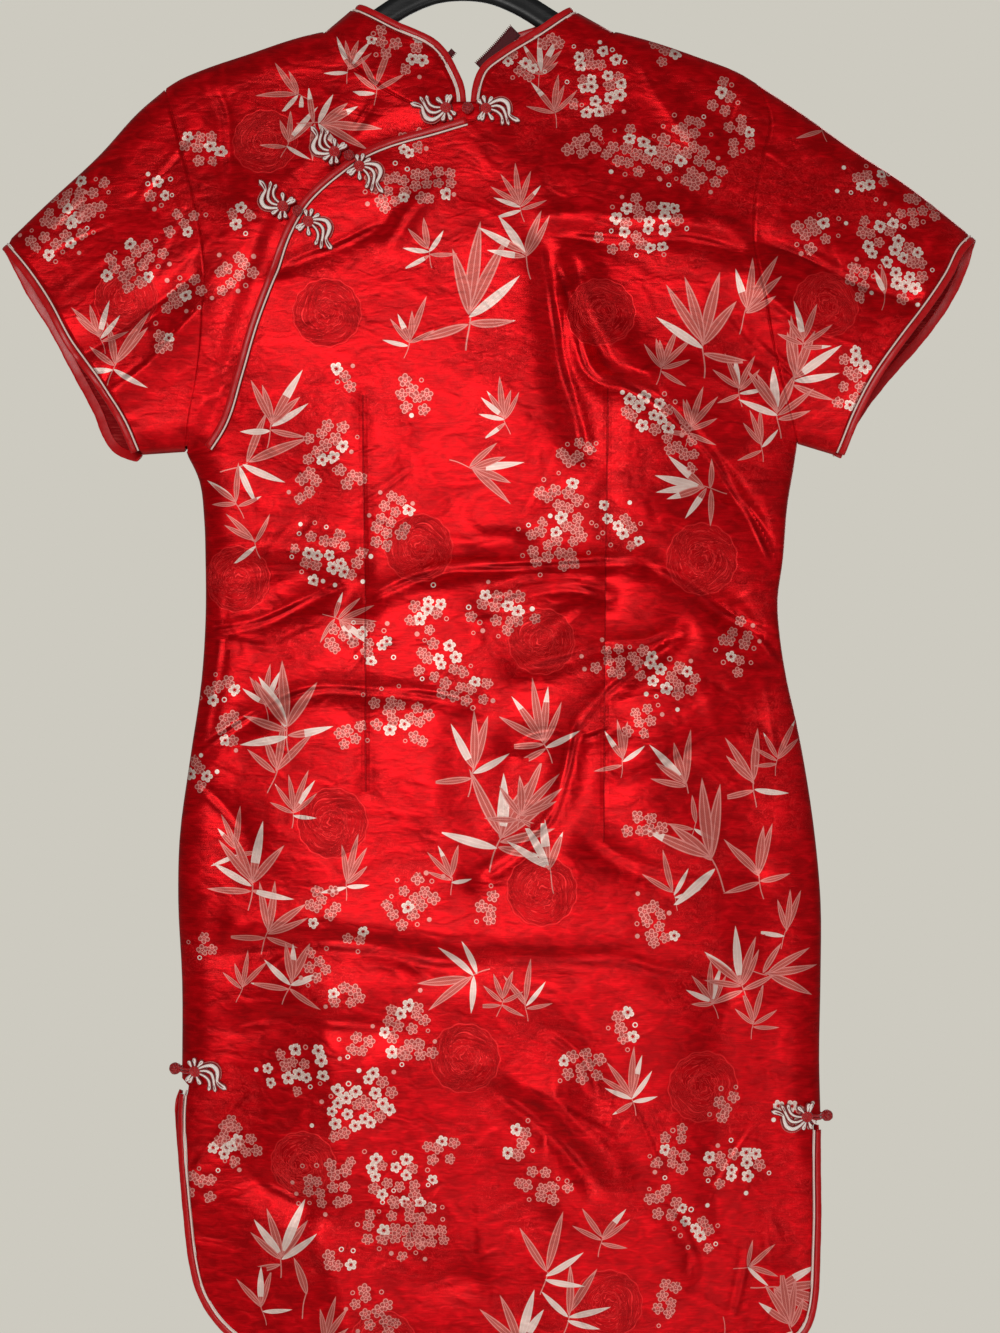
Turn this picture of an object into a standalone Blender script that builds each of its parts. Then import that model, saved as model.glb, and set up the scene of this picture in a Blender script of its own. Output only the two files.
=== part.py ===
"""Cheongsam dress on a hanger. Lengths in millimetres below, made into metres
when each mesh is written. X to the viewer's right, Z up, the front faces -Y.
The origin is where the hook rests on its rail."""
import bpy
import math
from mathutils import Vector, Matrix

MM = 0.001
WALL = 1.2          # cloth wall
SEAM = 0.4          # half gap between front and back at a side or shoulder seam
ARM_GAP = 0.35      # half gap along armhole, neck and zip seams, in the plane of the cloth
EDGE_R = 25.0       # how far in the rolled edge of the hanging dress reaches
PLAIN_R = 140.0     # how far in the front takes its full depth
PIPE_R = 0.8        # white piping
BIND_W, BIND_T = 2.4, 1.1   # rolled binding, half width and half thickness
SLIT_L, SLIT_R = -925.0, -955.0

# ---- outline, seen from the front: (x, z) ----
SHOULDER_L = [(-108, -121), (-125, -125), (-164, -138), (-202, -151), (-218, -158), (-229, -165)]
SLEEVETOP_L = [(-229, -165), (-248, -181), (-279, -215), (-321, -254), (-353, -285)]
SHOULDER_R = [(118, -121), (144, -128), (182, -141), (213, -153), (226, -161)]
SLEEVETOP_R = [(226, -161), (251, -177), (305, -215), (336, -235), (395, -281)]
COLLARSIDE_L = [(-62, -78), (-83, -98), (-108, -121)]
COLLARSIDE_R = [(64, -76), (85, -99), (118, -121)]
SIDE_L = [(-213, -444), (-203, -465), (-199, -496), (-198, -527), (-198, -573), (-201, -619),
          (-210, -681), (-218, -742), (-219, -788), (-216, -850), (-216, -925)]
SIDE_R = [(257, -438), (254, -458), (250, -481), (246, -527), (242, -558), (244, -588),
          (249, -619), (256, -650), (262, -681), (271, -742), (275, -788), (275, -850),
          (274, -911), (275, -955)]
# outer edge of each skirt panel beside its slit, down to where the hem runs level
SLITEDGE_L = {'front': [(-216, -925), (-218, -940), (-217, -985), (-213, -1030), (-209, -1062), (-203, -1085),
                        (-193, -1103), (-180, -1117), (-163, -1128), (-132, -1137)],
              'back': [(-216, -925), (-221, -940), (-221, -985), (-217, -1030), (-213, -1062), (-206, -1085),
                       (-196, -1103), (-183, -1117), (-166, -1128), (-132, -1137)]}
SLITEDGE_R = {'front': [(275, -955), (274, -985), (274, -1030), (273, -1062), (272, -1085), (269, -1103),
                        (263, -1117), (250, -1128), (217, -1137)],
              'back': [(275, -955), (276, -985), (277, -1030), (276, -1062), (275, -1085), (272, -1103),
                       (266, -1117), (253, -1128), (217, -1137)]}
ARM_L = [(-229, -165), (-219, -196), (-214, -215), (-203, -256), (-196, -290), (-195, -332),
         (-201, -383), (-209, -420), (-213, -444)]
ARM_R = [(226, -161), (234, -192), (227, -223), (221, -256), (221, -290), (226, -319),
         (238, -373), (250, -415), (257, -438)]
# cut edge of each sleeve's front and back layer, top fold to bottom fold
CUFF_L = {'front': [(-349, -283), (-333, -301), (-312, -331), (-295, -362), (-274, -391), (-254, -425), (-246, -446)],
          'back': [(-349, -283), (-333, -316), (-315, -345), (-299, -376), (-282, -407), (-266, -438), (-246, -446)]}
CUFF_R = {'front': [(389, -277), (379, -286), (367, -308), (350, -333), (330, -359), (310, -388), (297, -414), (285, -446)],
          'back': [(389, -277), (385, -296), (374, -321), (354, -350), (325, -383), (305, -409), (292, -432), (285, -446)]}
COLLARTOP_L = [(-83, -98), (-52, -115), (-15, -135), (-4, -154), (2, -169), (3, -180), (3, -187)]
COLLARTOP_R = [(85, -100), (56, -121), (27, -140), (13, -152), (8, -165), (6, -178), (6, -187)]
COLLARBACK_L = [(-83, -98), (-52, -114), (-28, -126), (-9, -133)]
COLLARBACK_R = [(85, -100), (66, -109), (52, -115), (38, -119)]
OPENING = [(4, -198), (-24, -206), (-51, -213), (-72, -222), (-92, -236), (-118, -261), (-129, -281),
           (-139, -308), (-155, -350), (-167, -388), (-181, -427), (-193, -445), (-202, -458)]
UNDERLAP = [(2, -190.5), (1, -203), (-6, -216), (-26, -226), (-50, -238), (-70, -252), (-98, -276), (-110, -296),
            (-122, -322), (-139, -362), (-152, -400), (-164, -432), (-176, -458), (-184, -470)]
NECK_L = [(-108, -121), (-87, -146), (-68, -164), (-40, -180), (-20, -187.5), (-3, -190.5)]
NECK_R = [(118, -121), (85, -152), (71, -162), (46, -179), (24, -190), (6, -198)]
NECKBACK_L = [(-108, -121), (-88, -139), (-64, -154), (-33, -165)]
NECKBACK_R = [(118, -121), (92, -134), (58, -146), (9, -153)]
CENTRE_BACK = [(-3, -300), (6, -400), (21, -557), (27, -800), (34, -1137)]
ZIPEDGE_L = [(-33, -165), (-20, -210), (-9, -260), (-3, -300)]
ZIPEDGE_R = [(9, -153), (7, -205), (1, -258), (-3, -300)]

# ---- depth down the dress: z, front and back depth in the middle, depth of the rolled edge ----
DEPTHS = [  # z, front, back, edge
    (-60, 19, 17, 11), (-165, 22, 19, 12), (-300, 29, 20, 13), (-400, 31, 21, 13), (-560, 23, 20, 12),
    (-700, 28, 26, 13), (-850, 32, 31, 14), (-1000, 30, 28, 14), (-1140, 28, 26, 14)]

# ---- largest folds: side, height (+ ridge, - trough), half width, line ----
FOLDS = [
    ('front', -6.0, 15, [(-190, -510), (-120, -462 - 90), (-48, -543), (28, -535), (75, -530)]),
    ('front', 4.0, 16, [(-60, -515), (0, -508), (60, -512)]),
    ('front', -5.0, 13, [(150, -535), (193, -550), (215, -580)]),
    ('front', -5.0, 13, [(64, -701), (92, -651), (126, -619), (160, -600)]),
    ('front', 5.0, 16, [(70, -300), (90, -350), (112, -388)]),
    ('front', -5.5, 14, [(84, -330), (115, -384), (160, -397), (208, -408), (240, -420)]),
    ('front', -4.0, 14, [(138, -393), (176, -430), (212, -478)]),
    ('front', -4.0, 15, [(-185, -829), (-100, -820), (-18, -833), (75, -834), (147, -841), (200, -855)]),
    ('front', 4.0, 17, [(20, -912), (66, -936), (116, -990)]),
    ('front', -3.5, 16, [(-156, -1000), (-118, -1018), (-30, -1076)]),
    ('back', -5.0, 16, [(-150, -560), (-60, -548), (30, -556), (120, -548), (200, -570)]),
    ('back', -4.0, 15, [(-120, -300), (-60, -380), (-90, -450)]),
    ('back', -4.0, 15, [(150, -290), (90, -370), (150, -440)]),
    ('back', -4.5, 18, [(-150, -850), (-20, -836), (120, -850), (220, -838)]),
    ('back', 4.0, 18, [(-100, -690), (-40, -780), (-70, -900)]),
    ('back', 4.0, 18, [(140, -700), (110, -800), (160, -920)]),
]

COLOURS = {  # name: colour, roughness, metallic
    'satin': ((0.60, 0.008, 0.012), 0.38, 0.0), 'binding': ((0.42, 0.012, 0.014), 0.42, 0.0),
    'piping': ((0.88, 0.82, 0.76), 0.45, 0.0), 'frog': ((0.75, 0.55, 0.5), 0.45, 0.0),
    'knot': ((0.40, 0.01, 0.012), 0.45, 0.0), 'tape': ((0.14, 0.01, 0.016), 0.7, 0.0),
    'zipmetal': ((0.30, 0.02, 0.025), 0.35, 0.0), 'hanger': ((0.012, 0.012, 0.013), 0.35, 0.0),
    'hook': ((0.62, 0.62, 0.64), 0.22, 1.0)}


# ======================= plane geometry =======================
def lerp(a, b, t):
    return a + (b - a) * t


def smooth(t):
    t = max(0.0, min(1.0, t))
    return t * t * (3 - 2 * t)


def table(rows, z, col):
    """Value of a column at height z, eased between rows."""
    if z >= rows[0][0]:
        return rows[0][col]
    for a, b in zip(rows, rows[1:]):
        if z >= b[0]:
            return lerp(a[col], b[col], smooth((a[0] - z) / (a[0] - b[0])))
    return rows[-1][col]


def seg_dist(p, a, b):
    dx, dz = b[0] - a[0], b[1] - a[1]
    t = ((p[0] - a[0]) * dx + (p[1] - a[1]) * dz) / (dx * dx + dz * dz)
    t = max(0.0, min(1.0, t))
    return math.hypot(p[0] - a[0] - t * dx, p[1] - a[1] - t * dz)


def line_dist(p, line):
    return min(seg_dist(p, a, b) for a, b in zip(line, line[1:]))


def curve(line, n=8):
    """Centripetal-like smooth curve through the given points."""
    pts = [Vector(p) for p in line]
    out = []
    for i in range(len(pts) - 1):
        p0 = pts[i - 1] if i else pts[0] * 2 - pts[1]
        p3 = pts[i + 2] if i + 2 < len(pts) else pts[-1] * 2 - pts[-2]
        p1, p2 = pts[i], pts[i + 1]
        l0, l1, l2 = (p1 - p0).length, (p2 - p1).length, (p3 - p2).length
        m1 = ((p2 - p1) / l1 * l0 + (p1 - p0) / l0 * l1) / (l0 + l1) * l1
        m2 = ((p3 - p2) / l2 * l1 + (p2 - p1) / l1 * l2) / (l1 + l2) * l1
        for k in range(n):
            t = k / n
            out.append((2 * t**3 - 3 * t**2 + 1) * p1 + (t**3 - 2 * t**2 + t) * m1
                       + (-2 * t**3 + 3 * t**2) * p2 + (t**3 - t**2) * m2)
    out.append(pts[-1])
    return out


def at_z(line, z):
    """Point of a falling line at height z."""
    if z >= line[0][1]:
        return Vector(line[0])
    for a, b in zip(line, line[1:]):
        if z >= b[1]:
            t = (a[1] - z) / max(1e-6, a[1] - b[1])
            return Vector((lerp(a[0], b[0], t), z))
    return Vector(line[-1])


def resample(line, n, ease=None):
    cum = [0.0]
    for a, b in zip(line, line[1:]):
        cum.append(cum[-1] + (Vector(b) - Vector(a)).length)
    out = []
    for k in range(n):
        t = k / (n - 1)
        s = (ease(t) if ease else t) * cum[-1]
        i = 0
        while i < len(line) - 2 and cum[i + 1] < s:
            i += 1
        u = (s - cum[i]) / max(1e-9, cum[i + 1] - cum[i])
        out.append(Vector(line[i]).lerp(Vector(line[i + 1]), max(0.0, min(1.0, u))))
    return out


def shifted(line, d):
    """The same stations moved d to the left of travel (x, z plane)."""
    out = []
    n = len(line)
    for i, p in enumerate(line):
        a = line[max(0, i - 1)]
        b = line[min(n - 1, i + 1)]
        e1 = (Vector(p) - Vector(a)) if i else (Vector(b) - Vector(p))
        e2 = (Vector(b) - Vector(p)) if i < n - 1 else e1
        if e1.length < 1e-6:
            e1 = e2
        if e2.length < 1e-6:
            e2 = e1
        n1 = Vector((-e1.y, e1.x)).normalized()
        n2 = Vector((-e2.y, e2.x)).normalized()
        m = n1 + n2
        if m.length < 0.2:
            m = n1
        m.normalize()
        out.append(Vector(p) + m * (d / max(0.5, m.dot(n1))))
    return out


# ======================= the hanging form =======================
TOP_L = curve(COLLARSIDE_L, 4)[:-1] + curve(SHOULDER_L, 4)[:-1] + curve(SLEEVETOP_L, 5) + [Vector((-420, -345))]
TOP_R = curve(COLLARSIDE_R, 4)[:-1] + curve(SHOULDER_R, 4)[:-1] + curve(SLEEVETOP_R, 5) + [Vector((460, -330))]
LOW_L = [Vector((-330, -490)), Vector((-249, -450))] + curve(SIDE_L, 4) + \
    [Vector(p) for p in [(-222, -960), (-226, -1000), (-228, -1200)]]
LOW_R = [Vector((370, -490)), Vector((286, -449))] + curve(SIDE_R, 4) + \
    [Vector(p) for p in [(281, -990), (284, -1030), (286, -1200)]]
FORM_LINES = [TOP_L, TOP_R, LOW_L, LOW_R]
FOLD_CURVES = [(side, h, w, curve(line, 4)) for side, h, w, line in FOLDS]


def depth(x, z, side):
    """Distance of the cloth's outer face from the middle plane."""
    q = f = 1.0
    for line in FORM_LINES:
        d = line_dist((x, z), line)
        s = min(1.0, d / EDGE_R)
        q *= math.sqrt(max(0.0, 1 - (1 - s) ** 2))
        f *= smooth(d / PLAIN_R)
    edge = table(DEPTHS, z, 3)
    full = table(DEPTHS, z, 1 if side == 'front' else 2)
    y = edge + (full - edge) * f
    for sd, h, w, line in FOLD_CURVES:
        if sd == side:
            d = line_dist((x, z), line) / w
            if d < 3:
                y += h * math.exp(-d * d) * min(1.0, f * 3 + 0.3)
    return SEAM + q * max(6.0, y)


def place(p, side, out=0.0, lean=0.0):
    """Point on the cloth's outer face, moved out along its normal."""
    x, z = p[0], p[1]
    sg = -1.0 if side == 'front' else 1.0
    y = depth(x, z, side)
    v = Vector((x, sg * (y - lean), z))
    if out:
        e = 1.0
        gx = (depth(x + e, z, side) - depth(x - e, z, side)) / (2 * e)
        gz = (depth(x, z + e, side) - depth(x, z - e, side)) / (2 * e)
        gx, gz = max(-3, min(3, gx)), max(-3, min(3, gz))
        v += Vector((-gx, sg, -gz)).normalized() * out
    return v


# ======================= mesh helpers =======================
PARTS = None


def material(name):
    mat = bpy.data.materials.get(name)
    if not mat:
        col, rough, metal = COLOURS[name]
        mat = bpy.data.materials.new(name)
        mat.use_nodes = True
        b = mat.node_tree.nodes['Principled BSDF']
        b.inputs['Base Color'].default_value = (*col, 1)
        b.inputs['Roughness'].default_value = rough
        b.inputs['Metallic'].default_value = metal
        mat.diffuse_color = (*col, 1)
    return mat


def add(name, verts, faces, mat):
    me = bpy.data.meshes.new(name)
    me.from_pydata([tuple(Vector(v) * MM) for v in verts], [], faces)
    me.validate()
    ob = bpy.data.objects.new(name, me)
    ob.data.materials.append(material(mat))
    PARTS.objects.link(ob)
    return ob


def thicken(ob, wall=WALL):
    m = ob.modifiers.new('cloth wall', 'SOLIDIFY')
    m.thickness = wall * MM
    m.offset = -1
    m.use_even_offset = False
    for p in ob.data.polygons:
        p.use_smooth = True
    return ob


def grid_faces(rows, cols, flip=False, closed=False):
    out = []
    for i in range(rows - 1):
        for j in range(cols if closed else cols - 1):
            a, b = i * cols + j, i * cols + (j + 1) % cols
            c, d = b + cols, a + cols
            out.append((a, d, c, b) if flip else (a, b, c, d))
    return out


def tube(name, centres, frames, ru, rv, sides, mat):
    """Closed tube: centres with (u, v) axes, elliptical section ru by rv."""
    verts, faces = [], []
    n = len(centres)
    for c, (u, v) in zip(centres, frames):
        for k in range(sides):
            a = 2 * math.pi * (k + 0.5) / sides
            verts.append(c + u * (math.cos(a) * ru) + v * (math.sin(a) * rv))
    for i in range(n - 1):
        for k in range(sides):
            a, b = i * sides + k, i * sides + (k + 1) % sides
            faces.append((a, b, b + sides, a + sides))
    faces.append(tuple(reversed(range(sides))))
    faces.append(tuple((n - 1) * sides + k for k in range(sides)))
    ob = add(name, verts, faces, mat)
    # make the faces point out whatever way the line runs
    me = ob.data
    vol = sum(me.vertices[p.vertices[0]].co.dot((me.vertices[p.vertices[i]].co).cross(me.vertices[p.vertices[i + 1]].co))
              for p in me.polygons for i in range(1, len(p.vertices) - 1))
    if vol < 0:
        me.flip_normals()
    for p in me.polygons:
        p.use_smooth = len(p.vertices) == 4
    return ob


def ribbon(name, pts, normals, ru, rv, sides, mat):
    """Tube laid on cloth: its width lies in the cloth, its thickness along the normal."""
    frames = []
    n = len(pts)
    for i in range(n):
        t = (pts[min(n - 1, i + 1)] - pts[max(0, i - 1)]).normalized()
        nn = (normals[i] - t * normals[i].dot(t)).normalized()
        frames.append((t.cross(nn), nn))
    return tube(name, pts, frames, ru, rv, sides, mat)


# ======================= rows of the panels =======================
PIPE_IN = PIPE_R + 0.4                                  # cloth edge to middle of the piping
BIND_IN = PIPE_IN + PIPE_R + 0.35 + BIND_W              # cloth edge to middle of the binding
EDGE_IN = BIND_IN + BIND_W                              # cloth edge to outer edge of the binding

Z_NECK = [-122, -127, -134, -142, -152, -161, -168, -177, -186, -193]
Z_OPEN = [-199, -205, -211, -219, -230, -243, -258, -276, -300, -330, -362, -392, -420, -436, -444]
Z_SIDE = [-458, -478, -502, -530, -558, -588, -619, -650, -690, -735, -785, -840, -885, -918]
Z_SKIRT = [-925, -933, -955, -963, -1000, -1040, -1068, -1090, -1107, -1119, -1126, -1130]
Z_ALL = Z_NECK + Z_OPEN + Z_SIDE + Z_SKIRT
Z_BACK = [-122, -127, -134, -142, -152, -161, -168, -177, -193, -211, -230, -258, -276, -300, -330, -362,
          -392, -420, -436, -444, -458, -502, -530, -558, -588, -619, -650, -690, -735, -785, -840, -918,
          -925, -933, -955, -963, -1000, -1040, -1068, -1090, -1107, -1119, -1126, -1130]

NECKLINE = {'L': curve(NECK_L), 'R': curve(NECK_R), 'LB': curve(NECKBACK_L), 'RB': curve(NECKBACK_R)}
SHOULDER = {'L': curve(SHOULDER_L, 4), 'R': curve(SHOULDER_R, 4)}
ARMHOLE = {'L': curve(ARM_L), 'R': curve(ARM_R)}
SIDE = {'L': curve(SIDE_L, 4), 'R': curve(SIDE_R, 4)}
OPEN_LINE = curve(OPENING)
OPEN_EDGE = shifted(OPEN_LINE, PIPE_IN)


def hem_edge(which, side):
    line = curve((SLITEDGE_L if which == 'L' else SLITEDGE_R)[side], 5)
    return shifted(line, EDGE_IN if which == 'L' else -EDGE_IN)


def outer_edge(which, side, z):
    """Shoulder, armhole, side seam and slit edge of one side, at height z."""
    sg = 1 if which == 'L' else -1
    sh = SHOULDER[which][-1][1]
    arm_end = ARMHOLE[which][-1][1]
    slit = SLIT_L if which == 'L' else SLIT_R
    if z >= sh:
        return at_z(SHOULDER[which], z)
    if z >= arm_end:
        return at_z(shifted(ARMHOLE[which], sg * ARM_GAP), z)
    if z >= slit - 3:
        return at_z(SIDE[which], z)
    return at_z(hem_edge(which, side), z)


def columns(n, left_fold, right_fold):
    """Spacing across a row, finer at a rolled edge."""
    out = []
    for k in range(n):
        t = k / (n - 1)
        c = 0.5 - 0.5 * math.cos(math.pi * t)
        w = 0.72
        e = w * c + (1 - w) * t
        if not left_fold:
            e = lerp(t, e, t)
        if not right_fold:
            e = lerp(e, t, t)
        out.append(e)
    return out


def panel(name, rows, cols, side, inset=None, mat='satin'):
    """Grid between left and right edge points of each row."""
    verts = []
    for lf, rt in rows:
        for c in cols:
            p = lf.lerp(rt, c)
            v = place(p, side)
            if inset:
                v.y += (1 if side == 'front' else -1) * inset(p)
            verts.append(v)
    ob = add(name, verts, grid_faces(len(rows), len(cols), flip=(side == 'back')), mat)
    return thicken(ob)


def front_main():
    rows = []
    for z in Z_ALL:
        if z >= -193:
            lf = at_z(shifted(NECKLINE['R'], ARM_GAP), z)
        elif z >= -445:
            lf = at_z(OPEN_EDGE, z)
        else:
            lf = outer_edge('L', 'front', z)
        rows.append((lf, outer_edge('R', 'front', z)))
    return rows


def under_inset(p):
    """How far the under piece sinks to pass beneath the overlap."""
    d = line_dist(p, OPEN_LINE)
    inside = p[1] < OPEN_LINE[0][1] and p[0] > at_z(OPEN_LINE, p[1])[0]
    k = 1.0 if inside else 1.0 - smooth((d - 11.0) / 14.0)
    return 3.3 * k * smooth(depth(p[0], p[1], 'front') / 5.0)


def front_shoulder():
    rows = []
    lap = curve(UNDERLAP)
    for z in Z_NECK[:-1] + [-190, -196] + Z_OPEN[:-1]:
        lf = outer_edge('L', 'front', z)
        if z < -430:
            lf = lf + Vector((5, 0))
        rt = at_z(shifted(NECKLINE['L'], -ARM_GAP), z) if z >= -190 else at_z(lap, z)
        rows.append((lf, rt))
    return rows


def back_half(which):
    rows = []
    edge = curve(ZIPEDGE_L if which == 'L' else ZIPEDGE_R)
    centre = curve(CENTRE_BACK)
    neck = NECKLINE['LB' if which == 'L' else 'RB']
    sg = -1 if which == 'L' else 1
    neck_end = neck[-1][1]
    gap = 3.6            # room for the teeth of the zip above the slider
    for z in Z_BACK:
        if z > neck_end:
            inner = at_z(shifted(neck, sg * ARM_GAP), z)
        elif z > -300:
            inner = at_z(edge, z) + Vector((sg * min(gap, lerp(0.4, gap, smooth((-300 - z) / -60.0))), 0))
        else:
            inner = at_z(centre, z) + Vector((sg * 0.4, 0))
        outer = outer_edge(which, 'back', z)
        rows.append((outer, inner) if which == 'L' else (inner, outer))
    return rows


def neck_points(rows, col, neck_end):
    return [r[col] for r in rows if r[col][1] >= neck_end - 0.5]


def sleeve(name, which, front_rows, back_rows, across=6):
    """Closed ring of cloth from armhole to cuff: top fold, front, bottom fold, back."""
    sg = 1 if which == 'L' else -1
    col = 0 if which == 'L' else 1
    top_z = SHOULDER[which][-1][1]
    low_z = ARMHOLE[which][-1][1]
    tops = curve(SLEEVETOP_L if which == 'L' else SLEEVETOP_R, 5)
    under = ARMHOLE[which][-1]
    cuff = CUFF_L if which == 'L' else CUFF_R
    sides = []
    for side, rows in (('front', front_rows), ('back', back_rows)):
        arm = [r[col] for r in rows if low_z - 0.5 <= r[col][1] < top_z]
        if side == 'front' and which == 'L':
            arm = [p if p[1] > -430 else at_z(shifted(ARMHOLE['L'], ARM_GAP), p[1]) for p in arm]
        edge = [Vector(SHOULDER[which][-1])] + shifted(arm, -sg * 2 * ARM_GAP) + [Vector(under)]
        cum = [0.0]
        for a, b in zip(edge, edge[1:]):
            cum.append(cum[-1] + (b - a).length)
        ss = [c / cum[-1] for c in cum]
        cline = curve(cuff[side], 6)
        cend = resample(cline, 101)
        sides.append((side, edge, ss, cend))
    T = resample(tops, 61)
    # the top line ends where the cuff's cut edge begins
    end = Vector(cuff['front'][0])
    T = [p for p in T if (p[0] - end[0]) * sg > 0] + [end]
    B = [Vector(under), Vector(cuff['front'][-1])]
    T[0] = Vector(SHOULDER[which][-1]) + Vector((-sg * 0.7, -0.3))
    B[0] = Vector(under) + Vector((-sg * 0.8, 0.2))
    Tn = resample(T, across)
    Bn = resample(B, across)
    rings = []
    for i in range(across):
        r = i / (across - 1)
        ring = []
        for side, edge, ss, cend in sides:
            seq = []
            for k, s in enumerate(ss):
                A = edge[k] if 0 < k < len(ss) - 1 else (Tn[0] if k == 0 else Bn[0])
                C = cend[min(100, int(round(s * 100)))]
                p = A * (1 - r) + C * r + Tn[i] * (1 - s) + Bn[i] * s \
                    - (Tn[0] * (1 - r) * (1 - s) + Tn[-1] * r * (1 - s) + Bn[0] * (1 - r) * s + Bn[-1] * r * s)
                seq.append((p, side))
            seq[0] = (seq[0][0], 'fold')
            seq[-1] = (seq[-1][0], 'fold')
            ring.append(seq)
        rings.append(ring[0] + list(reversed(ring[1]))[1:-1])
    verts = []
    for ring in rings:
        for p, side in ring:
            v = place(p, 'front' if side == 'fold' else side)
            if side == 'fold':
                v.y = 0.0
            verts.append(v)
    n = len(rings[0])
    ob = add(name, verts, grid_faces(across, n, flip=(which == 'L'), closed=True), 'satin')
    thicken(ob)
    return rings[-1]


def collar(name, which, front_rows, back_rows):
    sg = 1 if which == 'L' else -1
    fcol, bcol = (1, 1) if which == 'L' else (0, 0)
    low = -190.5 if which == 'L' else -193.5
    f_neck = [r[fcol] for r in front_rows if r[fcol][1] >= low]
    b_end = NECKLINE['LB' if which == 'L' else 'RB'][-1][1]
    b_neck = [r[bcol] for r in back_rows if r[bcol][1] > b_end]
    f_seam = shifted(f_neck, sg * 2 * ARM_GAP)
    b_seam = shifted(b_neck, sg * 2 * ARM_GAP) + [NECKLINE['LB' if which == 'L' else 'RB'][-1] + Vector((0, 0.9))]
    top_f = shifted(curve(COLLARTOP_L if which == 'L' else COLLARTOP_R, 5), -sg * EDGE_IN)
    top_b = shifted(curve(COLLARBACK_L if which == 'L' else COLLARBACK_R, 5), -sg * EDGE_IN)
    f_seam = [p for p in f_seam if (3 - p[0]) * sg > -4 or True]
    fold_top = (Vector(top_f[0]) + Vector(top_b[0])) / 2
    nf, nb = len(f_seam), len(b_seam)
    tf = resample(top_f, nf, lambda t: t)
    tb = resample(top_b, nb)
    verts, top_path = [], []
    seq = []
    for k in range(nf - 1, 0, -1):
        seq.append((f_seam[k], tf[k], 'front'))
    seq.append(((f_seam[0] + b_seam[0]) / 2, fold_top, 'fold'))
    for k in range(1, nb):
        seq.append((b_seam[k], tb[k], 'back'))
    levels = 4
    for s, t, side in seq:
        for j in range(levels):
            h = j / (levels - 1)
            p = s.lerp(t, h)
            v = place(p, 'front' if side == 'fold' else side)
            v.y += collar_lean(h, side, p)
            if side == 'fold':
                v.y = 0.0
            verts.append(v)
        top_path.append((t, side))
    ob = add(name, verts, grid_faces(len(seq), levels, flip=(which == 'R')), 'satin')
    thicken(ob)
    return top_path


def collar_lean(h, side, p):
    """The band leans towards the neck as it rises."""
    amt = 3.0 * smooth(h)
    return amt if side == 'front' else (-amt if side == 'back' else 0.0)


def edge_trim(path, out_dir, dist, ru, rv, lift, sides, mat, name, lean=False):
    """Tube along a cut edge. path: (point, side) stations; out_dir +1 = left of travel."""
    pts2 = shifted([p for p, s in path], out_dir * dist)
    pts, normals = [], []
    for q, (p, side) in zip(pts2, path):
        sd = 'front' if side == 'fold' else side
        base = place(q, sd)
        up = place(q, sd, 1.0) - base
        if side == 'fold':
            base.y = 0.0
            d = q - p
            # outward in the plane, square to the run of the edge
            away = fold_out(q)
            up = Vector((away[0], 0, away[1]))
        if lean:
            base.y += collar_lean(1.0, side, q)
        pts.append(base + up.normalized() * lift)
        normals.append(up)
    return ribbon(name, pts, normals, ru, rv, sides, mat)


def fold_out(q):
    """Unit vector away from the cloth at a rolled fold."""
    best, away = 1e9, (0, 1)
    for line in FORM_LINES:
        for a, b in zip(line, line[1:]):
            d = seg_dist(q, a, b)
            if d < best:
                best = d
                e = (Vector(b) - Vector(a)).normalized()
                n = Vector((-e.y, e.x))
                mid = Vector((20, -650))
                if (Vector(a) - mid).dot(n) < 0:
                    n = -n
                away = n
    return away


def trims(tag, path, out_dir, lean=False):
    edge_trim(path, out_dir, PIPE_IN, PIPE_R, PIPE_R, -0.3, 4, 'piping', 'piping_' + tag, lean)
    edge_trim(path, out_dir, BIND_IN, BIND_W, BIND_T, -0.2, 6, 'binding', 'binding_' + tag, lean)


# ======================= fastenings =======================
FROG_OUT, FROG_T = 1.9, 1.8
FROG_SHAPE = [(-6.4, 0.0), (-5.4, 5.0), (-1.0, 8.0), (5.0, 7.2), (9.0, 8.5), (15.0, 10.5), (21.0, 9.0),
              (27.0, 7.0), (30.0, 4.0), (25.0, 1.5), (19.0, -1.5), (12.0, -6.5), (5.0, -8.2), (-2.0, -8.0), (-5.4, -5.0)]
# name, middle of the disk (x, z), direction of the tail in degrees, mirrored, side
FROGS = [
    ('collar_left', (-12.3, -186.2), 178, False, 'front'), ('collar_right', (17.7, -186.2), -14, False, 'front'),
    ('chest1_left', (-96.9, -220.0), 138, False, 'front'), ('chest1_right', (-77.7, -230.8), -42, False, 'front'),
    ('chest2_left', (-135.4, -262.3), 138, False, 'front'), ('chest2_right', (-116.2, -273.1), -42, False, 'front'),
    ('slitleft_front', (-203.0, -917.0), -22, False, 'front'), ('slitleft_back', (-203.0, -917.0), -22, False, 'back'),
    ('slitright_front', (261.5, -952.0), 176, False, 'front'), ('slitright_back', (261.5, -952.0), 176, False, 'back')]
KNOTS = [('collar_knot', (4.0, -187.0), 'front', 4.2), ('chest1_knot', (-85.6, -223.4), 'front', 3.8),
         ('chest2_knot', (-124.4, -265.8), 'front', 3.8), ('slitleft_knot', (-221.2, -918.0), 'fold', 4.6),
         ('slitright_knot', (280.0, -954.0), 'fold', 4.4)]


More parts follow.
